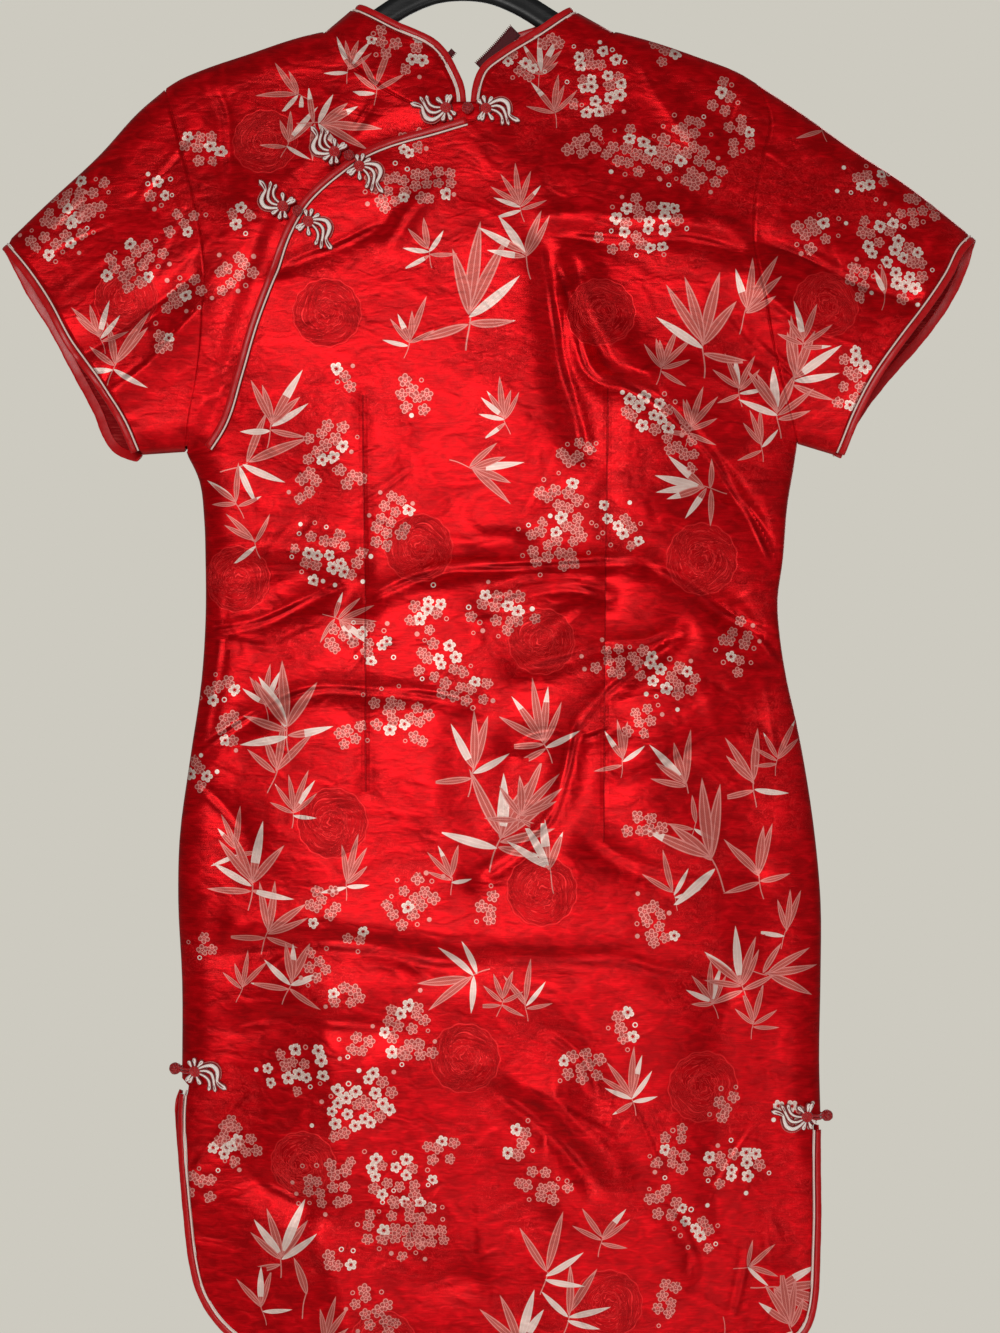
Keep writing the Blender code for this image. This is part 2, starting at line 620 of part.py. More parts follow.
def frog_half(name, at, angle, mirror, side):
    """Flat knot of cord with a swept tail, following the cloth."""
    a = math.radians(angle)
    ca, sa = math.cos(a), math.sin(a)
    def spot(x, y, out):
        if mirror:
            y = -y
        return place((at[0] + x * ca - y * sa, at[1] + x * sa + y * ca), side, out)
    mids = [(0.0, 0.0), (8.0, 0.0), (15.0, 3.5), (22.0, 5.5)]
    n = len(FROG_SHAPE)
    verts, faces = [], []
    for out in (FROG_OUT, FROG_OUT + FROG_T):
        for x, y in FROG_SHAPE:
            verts.append(spot(x, y, out))
        for x, y in mids:
            verts.append(spot(x, y, out))
    m = n + len(mids)
    owner = [min(range(len(mids)), key=lambda q: math.hypot(x - mids[q][0], y - mids[q][1])) for x, y in FROG_SHAPE]
    owner = [0, 0, 0, 1, 1, 2, 3, 3, 3, 3, 2, 1, 0, 0, 0]
    flat = []
    for i in range(n):
        j = (i + 1) % n
        oi, oj = owner[i], owner[j]
        flat.append((i, j, n + oi))
        if oi != oj:
            step = 1 if oj > oi else -1
            for o in range(oi, oj, step):
                flat.append((j, n + o + step, n + o))
    for t in flat:
        faces.append(tuple(v + m for v in t))
        faces.append(tuple(reversed(t)))
    for i in range(n):
        j = (i + 1) % n
        faces.append((i, j, j + m)[::1] and (j, i, i + m, j + m))
    ob = add('frog_' + name, verts, faces, 'frog')
    orient(ob)
    return ob


def orient(ob):
    import bmesh
    bm = bmesh.new()
    bm.from_mesh(ob.data)
    bmesh.ops.recalc_face_normals(bm, faces=bm.faces)
    if bm.calc_volume(signed=True) < 0:
        bmesh.ops.reverse_faces(bm, faces=bm.faces)
    bm.to_mesh(ob.data)
    bm.free()


def knot(name, at, side, r):
    if side == 'fold':
        c = Vector((at[0], 0.0, at[1]))
        dim = (r * 1.05, r, r)
    else:
        c = place(at, side, 1.5 + 0.8 * r)
        dim = (r, r * 0.8, r)
    bpy.ops.mesh.primitive_uv_sphere_add(segments=10, ring_count=6, radius=MM)
    ob = bpy.context.object
    ob.name = ob.data.name = 'frog_' + name
    ob.data.transform(Matrix.Diagonal((dim[0], dim[1], dim[2], 1)))
    ob.location = c * MM
    ob.data.materials.append(material('knot'))
    ob.data.shade_smooth()
    for col in ob.users_collection:
        col.objects.unlink(ob)
    PARTS.objects.link(ob)
    return ob


# ======================= zip =======================
SLIDER_Z = -306.0
TAPE_W, TAPE_T = 9.0, 1.0


def zip_tape(name, which, back_rows):
    """Tape inside the back opening, from the collar's top to the slider."""
    col = 1 if which == 'L' else 0
    sg = -1 if which == 'L' else 1
    path = [r[col] for r in back_rows if -296 < r[col][1] < NECKLINE['LB' if which == 'L' else 'RB'][-1][1]]
    verts, faces = [], []
    for p in path:
        a, b = p + Vector((sg * 0.6, 0)), p + Vector((sg * TAPE_W, 0))
        for q in (a, b):
            for sink in (WALL + 0.6, WALL + 0.6 + TAPE_T):
                v = place(q, 'back', -sink)
                verts.append(v)
    for i in range(len(path) - 1):
        o, n = i * 4, i * 4 + 4
        for a, b in ((0, 1), (1, 3), (3, 2), (2, 0)):
            faces.append((o + a, o + b, n + b, n + a))
    faces.append((0, 2, 3, 1))
    k = (len(path) - 1) * 4
    faces.append((k, k + 1, k + 3, k + 2))
    ob = add(name, verts, faces, 'tape')
    orient(ob)
    return ob


def box(name, size, at, mat, bevel=0.0):
    bpy.ops.mesh.primitive_cube_add(size=1.0)
    ob = bpy.context.object
    ob.name = ob.data.name = name
    ob.data.transform(Matrix.Diagonal((size[0] * MM, size[1] * MM, size[2] * MM, 1)))
    ob.location = Vector(at) * MM
    ob.data.materials.append(material(mat))
    for c in ob.users_collection:
        c.objects.unlink(ob)
    PARTS.objects.link(ob)
    if bevel:
        m = ob.modifiers.new('edges', 'BEVEL')
        m.width = bevel * MM
        m.segments = 1
    return ob


# ======================= hanger =======================
# left half and right half of the arms' middle line, and half height
ARMS = [(-216, -181, 5.5), (-190, -168, 7.5), (-150, -153, 8.5), (-115, -140, 9), (-88, -128, 9.2), (-66, -113, 9.2),
        (-44, -99, 9.2), (-22, -90, 9.4), (0, -87, 10), (22, -90, 9.4), (44, -99, 9.2), (67, -113, 9.2),
        (90, -127, 9.2), (120, -140, 9), (155, -153, 8.5), (192, -167, 7.5), (214, -178, 5.5)]
ARM_DEPTH = 4.6


def hanger():
    line = curve([(a, b) for a, b, c in ARMS], 2)
    hs = curve([(i * 10.0, c) for i, (a, b, c) in enumerate(ARMS)], 2)
    pts = [Vector((p.x, 0, p.y)) for p in line]
    n = len(pts)
    verts, faces = [], []
    sides = 10
    for i, p in enumerate(pts):
        t = (pts[min(n - 1, i + 1)] - pts[max(0, i - 1)]).normalized()
        up = Vector((-t.z, 0, t.x))
        end = 0.62 if i in (0, n - 1) else 1.0
        for k in range(sides):
            a = 2 * math.pi * (k + 0.5) / sides
            verts.append(p + up * (math.cos(a) * hs[i].y * end) + Vector((0, 1, 0)) * (math.sin(a) * ARM_DEPTH * end))
    for i in range(n - 1):
        for k in range(sides):
            a, b = i * sides + k, i * sides + (k + 1) % sides
            faces.append((a, b, b + sides, a + sides))
    faces.append(tuple(range(sides)))
    faces.append(tuple((n - 1) * sides + k for k in range(sides)))
    ob = add('hanger_body', verts, faces, 'hanger')
    orient(ob)
    for p in ob.data.polygons:
        p.use_smooth = len(p.vertices) == 4
    hook = []
    wire, bend = 1.8, 21.8
    for k in range(20):
        a = math.radians(-150 + 300 * k / 19.0 - 30)
        hook.append((bend * math.sin(-a) * -1, 0, -20.0 + bend * math.cos(a)))
    # the loop starts at its open tip, passes over the rest point and comes down to the stem
    path = []
    for k in range(19):
        a = math.radians(lerp(-100, 128, k / 18.0))
        path.append((bend * math.sin(a), 0, -20.0 + bend * math.cos(a)))
    path += [(9.5, 0, -41.5), (3.0, 0, -48.0), (0.0, 0, -56.0), (0, 0, -66), (0, 0, -76.2)]
    cu = bpy.data.curves.new('hanger_hook', 'CURVE')
    cu.dimensions = '3D'
    sp = cu.splines.new('POLY')
    sp.points.add(len(path) - 1)
    for q, v in zip(sp.points, path):
        q.co = (v[0] * MM, v[1] * MM, v[2] * MM, 1)
    cu.bevel_depth = wire * MM
    cu.bevel_resolution = 2
    cu.use_fill_caps = True
    ob = bpy.data.objects.new('hanger_hook', cu)
    cu.materials.append(material('hook'))
    PARTS.objects.link(ob)


# ======================= build =======================
def main():
    global PARTS
    for ob in list(bpy.data.objects):
        bpy.data.objects.remove(ob, do_unlink=True)
    PARTS = bpy.data.collections.new('cheongsam_dress')
    bpy.context.scene.collection.children.link(PARTS)

    fm, fs = front_main(), front_shoulder()
    bl, br = back_half('L'), back_half('R')
    panel('front_main', fm, columns(12, True, True), 'front')
    panel('front_shoulder', fs, columns(7, True, False), 'front', inset=under_inset)
    panel('back_left', bl, columns(7, True, False), 'back')
    panel('back_right', br, columns(7, False, True), 'back')
    cuff_l = sleeve('sleeve_left', 'L', fs, bl)
    cuff_r = sleeve('sleeve_right', 'R', fm, br)
    top_l = collar('collar_left', 'L', fs, bl)
    top_r = collar('collar_right', 'R', fm, br)

    opening = [(r[0], 'front') for r in fm if -192 > r[0][1] > -446]
    opening = [q for q in opening if q[0][1] < -198]
    trims('opening', opening, -1)
    fold_trims('collar_left', top_l, (-90, -200), (0.74, 0.68), True)
    fold_trims('collar_right', top_r, (100, -200), (-0.83, 0.56), True)

    def cuff_path(ring):
        n = len(ring)
        low = max(range(n), key=lambda i: -ring[i][0][1] if ring[i][1] == 'fold' else -1e9)
        order = [ring[(low + k) % n] for k in range(1, n)]
        return order
    # the cuff's trims run from the underarm up the back, over the top fold and down the front
    fold_trims('cuff_left', cuff_path(cuff_l), (-150, -330), (-0.72, -0.70))
    fold_trims('cuff_right', cuff_path(cuff_r), (180, -330), (0.79, -0.61))

    for side, rows in (('front', [fm]), ('back', [bl, br])):
        left, right = rows[0], rows[-1]
        lpath = [r[0] for r in left if r[0][1] <= SLIT_L - 9]
        rpath = [r[1] for r in right if r[1][1] <= SLIT_R - 7]
        if side == 'front':
            bottom = [left[-1][0].lerp(left[-1][1], c) for c in columns(12, True, True)][1:-1]
        else:
            bottom = [left[-1][0].lerp(left[-1][1], c) for c in columns(7, True, False)][1:] + \
                     [right[-1][0].lerp(right[-1][1], c) for c in columns(7, False, True)][1:-1]
        path = [(p, side) for p in lpath + bottom + list(reversed(rpath))]
        trims('hem_' + side, path, -1)

    for f in FROGS:
        frog_half(*f)
    for k in KNOTS:
        knot(*k)

    zip_tape('zip_tape_left', 'L', bl)
    zip_tape('zip_tape_right', 'R', br)
    y = max(place((x, z), 'back').y for x in (-7, -3, 2) for z in (SLIDER_Z - 22, SLIDER_Z - 5, SLIDER_Z + 5)) + 1.6
    box('zip_slider', (7.0, 3.0, 10.0), (-2.6, y + 1.5, SLIDER_Z), 'zipmetal', 0.6)
    pull = box('zip_pull', (4.6, 1.4, 26.0), (0, 0, 0), 'zipmetal', 0.3)
    # it hangs from its top end, with its origin on the pin
    pull.data.transform(Matrix.Translation((0, 0, (0.8 - 13.0) * MM)))
    pull.location = Vector((-2.6, y + 4.5, SLIDER_Z + 2.0)) * MM
    hanger()


def fold_trims(tag, path, centre, fold_dir, lean=False):
    """Piping and binding on an edge that passes round a rolled fold, moved away from the centre of its piece."""
    n = len(path)
    for dist, ru, rv, lift, sides, mat, pre in ((PIPE_IN, PIPE_R, PIPE_R, -0.3, 4, 'piping', 'piping_'),
                                                (BIND_IN, BIND_W, BIND_T, -0.2, 6, 'binding', 'binding_')):
        pts, normals = [], []
        for i, (p, s) in enumerate(path):
            if s == 'fold':
                nrm = Vector(fold_dir).normalized()
            else:
                edges = []
                if i and path[i - 1][1] != 'fold':
                    edges.append(p - path[i - 1][0])
                if i < n - 1 and path[i + 1][1] != 'fold':
                    edges.append(path[i + 1][0] - p)
                if not edges:
                    edges.append(p - path[i - 1][0])
                nrm = Vector((0, 0))
                for e in edges:
                    e = e.normalized()
                    m = Vector((-e.y, e.x))
                    if (p - Vector(centre)).dot(m) < 0:
                        m = -m
                    nrm += m
                nrm.normalize()
            q = p + nrm * dist
            sd = 'front' if s == 'fold' else s
            base = place(q, sd)
            up = place(q, sd, 1.0) - base
            if s == 'fold':
                base.y = 0.0
                away = fold_out(q)
                up = Vector((away[0], 0, away[1]))
            elif lean:
                base.y += collar_lean(1.0, s, q)
            pts.append(base + up.normalized() * lift)
            normals.append(up)
        ribbon(pre + tag, pts, normals, ru, rv, sides, mat)


main()
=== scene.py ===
"""Looks of the cheongsam dress on its hanger. Lengths in millimetres until a mesh is written."""

import math
import random

import bpy
import bmesh
import numpy as np
from mathutils import Vector, Matrix


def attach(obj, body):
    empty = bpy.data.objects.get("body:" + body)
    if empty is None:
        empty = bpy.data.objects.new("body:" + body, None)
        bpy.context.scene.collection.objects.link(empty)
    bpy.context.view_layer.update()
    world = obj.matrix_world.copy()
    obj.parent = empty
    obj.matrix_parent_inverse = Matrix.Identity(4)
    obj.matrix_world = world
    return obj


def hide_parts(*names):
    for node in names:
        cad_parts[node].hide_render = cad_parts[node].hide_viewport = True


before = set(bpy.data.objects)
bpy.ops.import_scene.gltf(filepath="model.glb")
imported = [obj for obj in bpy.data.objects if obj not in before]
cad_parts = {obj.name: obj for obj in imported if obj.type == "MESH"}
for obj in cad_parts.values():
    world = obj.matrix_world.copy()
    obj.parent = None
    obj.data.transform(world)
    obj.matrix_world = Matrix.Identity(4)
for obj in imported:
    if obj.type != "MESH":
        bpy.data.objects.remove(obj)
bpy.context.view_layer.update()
MM = 0.001
rng = random.Random(7)

# ======================= sizes shared with the construction =======================
SEAM, ARM_GAP = 0.4, 0.2
EDGE_R, PLAIN_R = 25.0, 140.0
PIPE_R = 0.8
BIND_W, BIND_T = 2.4, 1.1
WALL = 0.75
SLIT_L, SLIT_R = -925.0, -955.0
GRID = 4.0

SHOULDER_L = [(-108, -121), (-125, -125), (-164, -138), (-202, -151), (-218, -158), (-229, -165)]
SLEEVETOP_L = [(-229, -165), (-248, -181), (-279, -215), (-321, -254), (-353, -285)]
SHOULDER_R = [(118, -121), (144, -128), (182, -141), (213, -153), (226, -161)]
SLEEVETOP_R = [(226, -161), (251, -177), (305, -215), (336, -235), (395, -281)]
COLLARSIDE_L = [(-62, -78), (-83, -98), (-108, -121)]
COLLARSIDE_R = [(64, -76), (85, -99), (118, -121)]
SIDE_L = [(-213, -444), (-203, -465), (-199, -496), (-198, -527), (-198, -573), (-201, -619),
          (-210, -681), (-218, -742), (-219, -788), (-216, -850), (-216, -925)]
SIDE_R = [(257, -438), (254, -458), (250, -481), (246, -527), (242, -558), (244, -588),
          (249, -619), (256, -650), (262, -681), (271, -742), (275, -788), (275, -850),
          (274, -911), (275, -955)]
SLITEDGE_L = {'front': [(-216, -925), (-218, -940), (-217, -985), (-213, -1030), (-209, -1062), (-203, -1085),
                        (-193, -1103), (-180, -1117), (-163, -1128), (-132, -1137)],
              'back': [(-216, -925), (-221, -940), (-221, -985), (-217, -1030), (-213, -1062), (-206, -1085),
                       (-196, -1103), (-183, -1117), (-166, -1128), (-132, -1137)]}
SLITEDGE_R = {'front': [(275, -955), (274, -985), (274, -1030), (273, -1062), (272, -1085), (269, -1103),
                        (263, -1117), (250, -1128), (217, -1137)],
              'back': [(275, -955), (276, -985), (277, -1030), (276, -1062), (275, -1085), (272, -1103),
                       (266, -1117), (253, -1128), (217, -1137)]}
ARM_L = [(-229, -165), (-219, -196), (-214, -215), (-203, -256), (-196, -290), (-195, -332),
         (-201, -383), (-209, -420), (-213, -444)]
ARM_R = [(226, -161), (234, -192), (227, -223), (221, -256), (221, -290), (226, -319),
         (238, -373), (250, -415), (257, -438)]
CUFF_L = {'front': [(-349, -283), (-333, -301), (-312, -331), (-295, -362), (-274, -391), (-254, -425), (-246, -446)],
          'back': [(-349, -283), (-333, -316), (-315, -345), (-299, -376), (-282, -407), (-266, -438), (-246, -446)]}
CUFF_R = {'front': [(389, -277), (379, -286), (367, -308), (350, -333), (330, -359), (310, -388), (297, -414), (285, -446)],
          'back': [(389, -277), (385, -296), (374, -321), (354, -350), (325, -383), (305, -409), (292, -432), (285, -446)]}
COLLARTOP_L = [(-83, -98), (-52, -115), (-15, -135), (-4, -154), (2, -169), (3, -180), (3, -187)]
COLLARTOP_R = [(85, -100), (56, -121), (27, -140), (13, -152), (8, -165), (6, -178), (6, -187)]
COLLARBACK_L = [(-83, -98), (-52, -114), (-28, -126), (-9, -133)]
COLLARBACK_R = [(85, -100), (66, -109), (52, -115), (38, -119)]
OPENING = [(4, -198), (-24, -206), (-51, -213), (-72, -222), (-92, -236), (-118, -261), (-129, -281),
           (-139, -308), (-155, -350), (-167, -388), (-181, -427), (-193, -445), (-202, -458)]
UNDERLAP = [(2, -190.5), (1, -203), (-6, -216), (-26, -226), (-50, -238), (-70, -252), (-98, -276), (-110, -296),
            (-122, -322), (-139, -362), (-152, -400), (-164, -432), (-176, -458), (-184, -470)]
NECK_L = [(-108, -121), (-87, -146), (-68, -164), (-40, -180), (-20, -187.5), (-3, -190.5)]
NECK_R = [(118, -121), (85, -152), (71, -162), (46, -179), (24, -190), (6, -198)]
NECKBACK_L = [(-108, -121), (-88, -139), (-64, -154), (-33, -165)]
NECKBACK_R = [(118, -121), (92, -134), (58, -146), (9, -153)]
CENTRE_BACK = [(-3, -300), (6, -400), (21, -557), (27, -800), (34, -1137)]
ZIPEDGE_L = [(-33, -165), (-20, -210), (-9, -260), (-3, -300)]
ZIPEDGE_R = [(9, -153), (7, -205), (1, -258), (-3, -300)]
DEPTHS = [(-60, 19, 17, 11), (-165, 22, 19, 12), (-300, 29, 20, 13), (-400, 31, 21, 13), (-560, 23, 20, 12),
          (-700, 28, 26, 13), (-850, 32, 31, 14), (-1000, 30, 28, 14), (-1140, 28, 26, 14)]

# creases, listed one by one: side, height (+ ridge, - trough), half width, line
CREASES = [
    ('front', -6.0, 9, [(-74, -560), (-44, -545), (-7, -534), (37, -533), (80, -531), (112, -529), (138, -528)]),
    ('front', -5.0, 9, [(-196, -583), (-151, -574), (-114, -556), (-84, -541)]),
    ('front', 3.5, 10, [(-25, -518), (-6, -521), (21, -515), (40, -515)]),
    ('front', -5.5, 9, [(44, -609), (74, -604), (111, -593), (140, -591), (164, -581)]),
    ('front', 3.5, 9, [(52, -600), (71, -581), (94, -562)]),
    ('front', -5.0, 10, [(12, -770), (48, -745), (67, -726), (80, -690), (90, -652), (111, -628), (137, -607), (165, -586)]),
    ('front', -5.0, 9, [(144, -533), (173, -548), (203, -570), (238, -584)]),
    ('front', -4, 10, [(202, -559), (235, -597), (245, -612)]),
    ('front', 3, 10, [(188, -635), (226, -620)]),
    ('front', -4.5, 10, [(199, -468), (218, -491), (231, -512), (242, -539)]),
    ('front', -5.0, 10, [(60, -288), (66, -325), (70, -352), (74, -380), (84, -412), (92, -446)]),
    ('front', 4.0, 12, [(88, -300), (104, -340), (122, -372)]),
    ('front', -4.5, 9, [(-204, -676), (-158, -645), (-114, -627), (-70, -628), (-22, -631), (10, -640)]),
    ('front', -4.0, 9, [(20, -560), (48, -552), (82, -548), (112, -556)]),
    ('front', 3.5, 9, [(26, -548), (60, -540), (100, -541)]),
    ('front', -4.0, 9, [(40, -668), (66, -660), (90, -664), (118, -654)]),
    ('front', -3.5, 9, [(118, -700), (150, -684), (186, -660), (226, -650)]),
    ('front', 3.0, 9, [(122, -686), (156, -668), (190, -648)]),
    ('front', -3.5, 10, [(-190, -545), (-160, -536), (-120, -534)]),
    ('front', 3.0, 10, [(-186, -520), (-140, -516), (-96, -519)]),
    ('front', -3.5, 11, [(96, -742), (128, -760), (176, -770), (222, -766)]),
    ('front', -3.0, 11, [(-176, -885), (-120, -878), (-60, -884)]),
    ('front', -4.0, 11, [(60, -884), (88, -906), (100, -936)]),
    ('front', -3.5, 12, [(130, -1000), (165, -1030), (182, -1072)]),
    ('front', 3.0, 12, [(-110, -1040), (-96, -1076), (-90, -1112)]),
    ('front', 5, 9, [(82, -327), (101, -359), (116, -384), (138, -390)]),
    ('front', -5.5, 9, [(70, -300), (84, -345), (101, -390), (126, -396), (181, -440), (214, -486), (238, -535)]),
    ('front', 3.0, 8, [(140, -388), (186, -387), (210, -397), (240, -414)]),
    ('front', 3.5, 9, [(150, -405), (170, -422), (190, -445), (218, -476)]),
    ('front', 3, 9, [(67, -270), (92, -268), (119, -274), (166, -272), (194, -275), (220, -283)]),
    ('front', -3, 8, [(75, -282), (119, -286), (167, -284), (209, -293)]),
    ('front', -3, 8, [(-139, -308), (-117, -299), (-96, -292), (-59, -273)]),
    ('front', 3, 9, [(-54, -288), (-38, -265), (-20, -248)]),
    ('front', -4.5, 12, [(-185, -828), (-151, -822), (-101, -820), (-68, -823), (-18, -833), (13, -834)]),
    ('front', -4, 12, [(28, -832), (75, -832), (119, -833), (147, -841), (181, -846), (200, -853)]),
    ('front', 2.5, 12, [(-172, -808), (-102, -802), (-25, -812), (44, -815), (121, -813)]),
    ('front', 5, 12, [(20, -911), (42, -928), (67, -937), (83, -955), (108, -978), (116, -992)]),
    ('front', -4, 11, [(28, -931), (52, -948), (72, -965), (98, -995)]),
    ('front', -4, 12, [(-156, -1001), (-137, -1008), (-119, -1018)]),
    ('front', -3, 12, [(-25, -1077), (5, -1072)]),
    ('front', 4, 10, [(-196, -338), (-214, -356), (-232, -375), (-264, -400)]),
    ('front', -3.5, 10, [(-202, -312), (-233, -335), (-272, -362), (-291, -373)]),
    ('front', -4.5, 10, [(223, -285), (260, -299), (298, -318), (338, -330)]),
    ('front', 3.5, 10, [(228, -327), (259, -350), (298, -367)]),
    ('front', -2.5, 8, [(-68, -173), (-75, -187), (-87, -204)]),
    ('front', -3, 10, [(-195, -162), (-183, -188), (-181, -219), (-178, -250)]),
    ('front', -3, 10, [(209, -169), (199, -196), (186, -223)]),
    ('front', 2.5, 10, [(136, -142), (152, -173), (175, -204)]),
    ('front', -3, 11, [(-210, -696), (-191, -712), (-164, -742)]),
    ('front', -2.5, 12, [(-191, -527), (-185, -573), (-190, -619), (-199, -665)]),
    ('front', -2.5, 11, [(228, -573), (232, -627), (240, -681)]),
    ('front', 2.5, 20, [(-18, -635), (-21, -712), (-13, -773)]),
    ('front', -2.5, 18, [(44, -627), (36, -696), (44, -765)]),
    ('front', 2.5, 20, [(-102, -865), (-98, -927), (-87, -1004)]),
    ('front', -2.5, 20, [(198, -873), (190, -942), (195, -1035)]),
    ('front', 2.0, 18, [(75, -1019), (72, -1065), (75, -1119)]),
    # the two waist darts, front, as soft channels
    ('front', -1.6, 6, [(-75, -404), (-75, -470), (-75, -557), (-74, -650), (-73, -704)]),
    ('front', -1.6, 6, [(110, -398), (109, -470), (108, -557), (107, -650), (107, -742)]),
    # back
    ('back', -5.0, 13, [(-150, -560), (-60, -548), (30, -556), (120, -548), (200, -570)]),
    ('back', -3.5, 11, [(-170, -600), (-110, -590), (-60, -604)]),
    ('back', -3.5, 11, [(70, -600), (130, -612), (190, -598)]),
    ('back', 3.5, 11, [(-120, -525), (-40, -518), (20, -528)]),
    ('back', -4.0, 13, [(-120, -300), (-60, -380), (-90, -450)]),
    ('back', -4.0, 13, [(150, -290), (90, -370), (150, -440)]),
    ('back', 3.0, 11, [(-160, -280), (-110, -340), (-120, -400)]),
    ('back', 3.0, 11, [(190, -270), (140, -340), (160, -400)]),
    ('back', -4.5, 16, [(-150, -850), (-20, -836), (120, -850), (220, -838)]),
    ('back', 4.0, 16, [(-100, -690), (-40, -780), (-70, -900)]),
    ('back', 4.0, 16, [(140, -700), (110, -800), (160, -920)]),
    ('back', -3.5, 13, [(-200, -470), (-170, -510), (-150, -560)]),
    ('back', -3.5, 13, [(245, -470), (215, -510), (190, -560)]),
    ('back', -3.5, 10, [(-202, -300), (-243, -335), (-280, -350)]),
    ('back', 3.5, 10, [(-200, -350), (-230, -380), (-262, -404)]),
    ('back', -3.5, 10, [(223, -300), (270, -320), (320, -335)]),
    ('back', 3.5, 10, [(228, -350), (262, -375), (290, -390)]),
    ('back', -1.5, 6, [(-70, -420), (-70, -560), (-66, -700)]),
    ('back', -1.5, 6, [(105, -420), (106, -560), (110, -700)]),
]


# ======================= plane geometry =======================
def lerp(a, b, t):
    return a + (b - a) * t


def smooth(t):
    t = np.clip(t, 0.0, 1.0)
    return t * t * (3 - 2 * t)


def curve(line, n=8):
    pts = [Vector(p) for p in line]
    out = []
    for i in range(len(pts) - 1):
        p0 = pts[i - 1] if i else pts[0] * 2 - pts[1]
        p3 = pts[i + 2] if i + 2 < len(pts) else pts[-1] * 2 - pts[-2]
        p1, p2 = pts[i], pts[i + 1]
        l0, l1, l2 = (p1 - p0).length, (p2 - p1).length, (p3 - p2).length
        m1 = ((p2 - p1) / l1 * l0 + (p1 - p0) / l0 * l1) / (l0 + l1) * l1
        m2 = ((p3 - p2) / l2 * l1 + (p2 - p1) / l1 * l2) / (l1 + l2) * l1
        for k in range(n):
            t = k / n
            out.append((2 * t**3 - 3 * t**2 + 1) * p1 + (t**3 - 2 * t**2 + t) * m1
                       + (-2 * t**3 + 3 * t**2) * p2 + (t**3 - t**2) * m2)
    out.append(pts[-1])
    return out


def at_z(line, z):
    if z >= line[0][1]:
        return Vector(line[0])
    for a, b in zip(line, line[1:]):
        if z >= b[1]:
            t = (a[1] - z) / max(1e-6, a[1] - b[1])
            return Vector((lerp(a[0], b[0], t), z))
    return Vector(line[-1])


def resample(line, n):
    cum = [0.0]
    for a, b in zip(line, line[1:]):
        cum.append(cum[-1] + (Vector(b) - Vector(a)).length)
    out = []
    i = 0
    for k in range(n):
        s = k / (n - 1) * cum[-1]
        while i < len(line) - 2 and cum[i + 1] < s:
            i += 1
        u = (s - cum[i]) / max(1e-9, cum[i + 1] - cum[i])
        out.append(Vector(line[i]).lerp(Vector(line[i + 1]), max(0.0, min(1.0, u))))
    return out


def length(line):
    return sum((Vector(b) - Vector(a)).length for a, b in zip(line, line[1:]))


def shifted(line, d):
    out = []
    n = len(line)
    for i, p in enumerate(line):
        a, b = line[max(0, i - 1)], line[min(n - 1, i + 1)]
        e1 = (Vector(p) - Vector(a)) if i else (Vector(b) - Vector(p))
        e2 = (Vector(b) - Vector(p)) if i < n - 1 else e1
        if e1.length < 1e-6:
            e1 = e2
        if e2.length < 1e-6:
            e2 = e1
        n1 = Vector((-e1.y, e1.x)).normalized()
        n2 = Vector((-e2.y, e2.x)).normalized()
        m = n1 + n2
        if m.length < 0.2:
            m = n1
        m.normalize()
        out.append(Vector(p) + m * (d / max(0.5, m.dot(n1))))
    return out


TOP_L = curve(COLLARSIDE_L, 4)[:-1] + curve(SHOULDER_L, 4)[:-1] + curve(SLEEVETOP_L, 5) + [Vector((-420, -345))]
TOP_R = curve(COLLARSIDE_R, 4)[:-1] + curve(SHOULDER_R, 4)[:-1] + curve(SLEEVETOP_R, 5) + [Vector((460, -330))]
LOW_L = [Vector((-330, -490)), Vector((-249, -450))] + curve(SIDE_L, 4) + \
    [Vector(p) for p in [(-222, -960), (-226, -1000), (-228, -1200)]]
LOW_R = [Vector((370, -490)), Vector((286, -449))] + curve(SIDE_R, 4) + \
    [Vector(p) for p in [(281, -990), (284, -1030), (286, -1200)]]
FORM_LINES = [np.array([tuple(p) for p in L]) for L in (TOP_L, TOP_R, LOW_L, LOW_R)]
CREASE_LINES = [(s, h, w, np.array([tuple(p) for p in curve(l, 4)])) for s, h, w, l in CREASES]


def dist_to(P, line):
    """Distance of each point of P (N, 2) from a polyline."""
    a, d = line[:-1], line[1:] - line[:-1]
    L = np.maximum((d * d).sum(1), 1e-9)
    rx = P[:, 0][:, None] - a[:, 0][None, :]
    rz = P[:, 1][:, None] - a[:, 1][None, :]
    t = np.clip((rx * d[:, 0] + rz * d[:, 1]) / L, 0, 1)
    rx -= t * d[:, 0]
    rz -= t * d[:, 1]
    return np.sqrt((rx * rx + rz * rz).min(1))


def signed_to(P, line):
    """Signed distance from a polyline, and the distance along it from its nearer end."""
    a, d = line[:-1], line[1:] - line[:-1]
    L = np.maximum((d * d).sum(1), 1e-9)
    before = np.concatenate([[0.0], np.cumsum(np.sqrt(L))])
    rx = P[:, 0][:, None] - a[:, 0][None, :]
    rz = P[:, 1][:, None] - a[:, 1][None, :]
    t = np.clip((rx * d[:, 0] + rz * d[:, 1]) / L, 0, 1)
    qx, qz = rx - t * d[:, 0], rz - t * d[:, 1]
    q = qx * qx + qz * qz
    k = q.argmin(1)
    n = np.arange(len(P))
    side = np.sign(d[k, 0] * rz[n, k] - d[k, 1] * rx[n, k])
    along = before[k] + t[n, k] * np.sqrt(L[k])
    return np.sqrt(q[n, k]) * np.where(side == 0, 1, side), np.minimum(along, before[-1] - along)


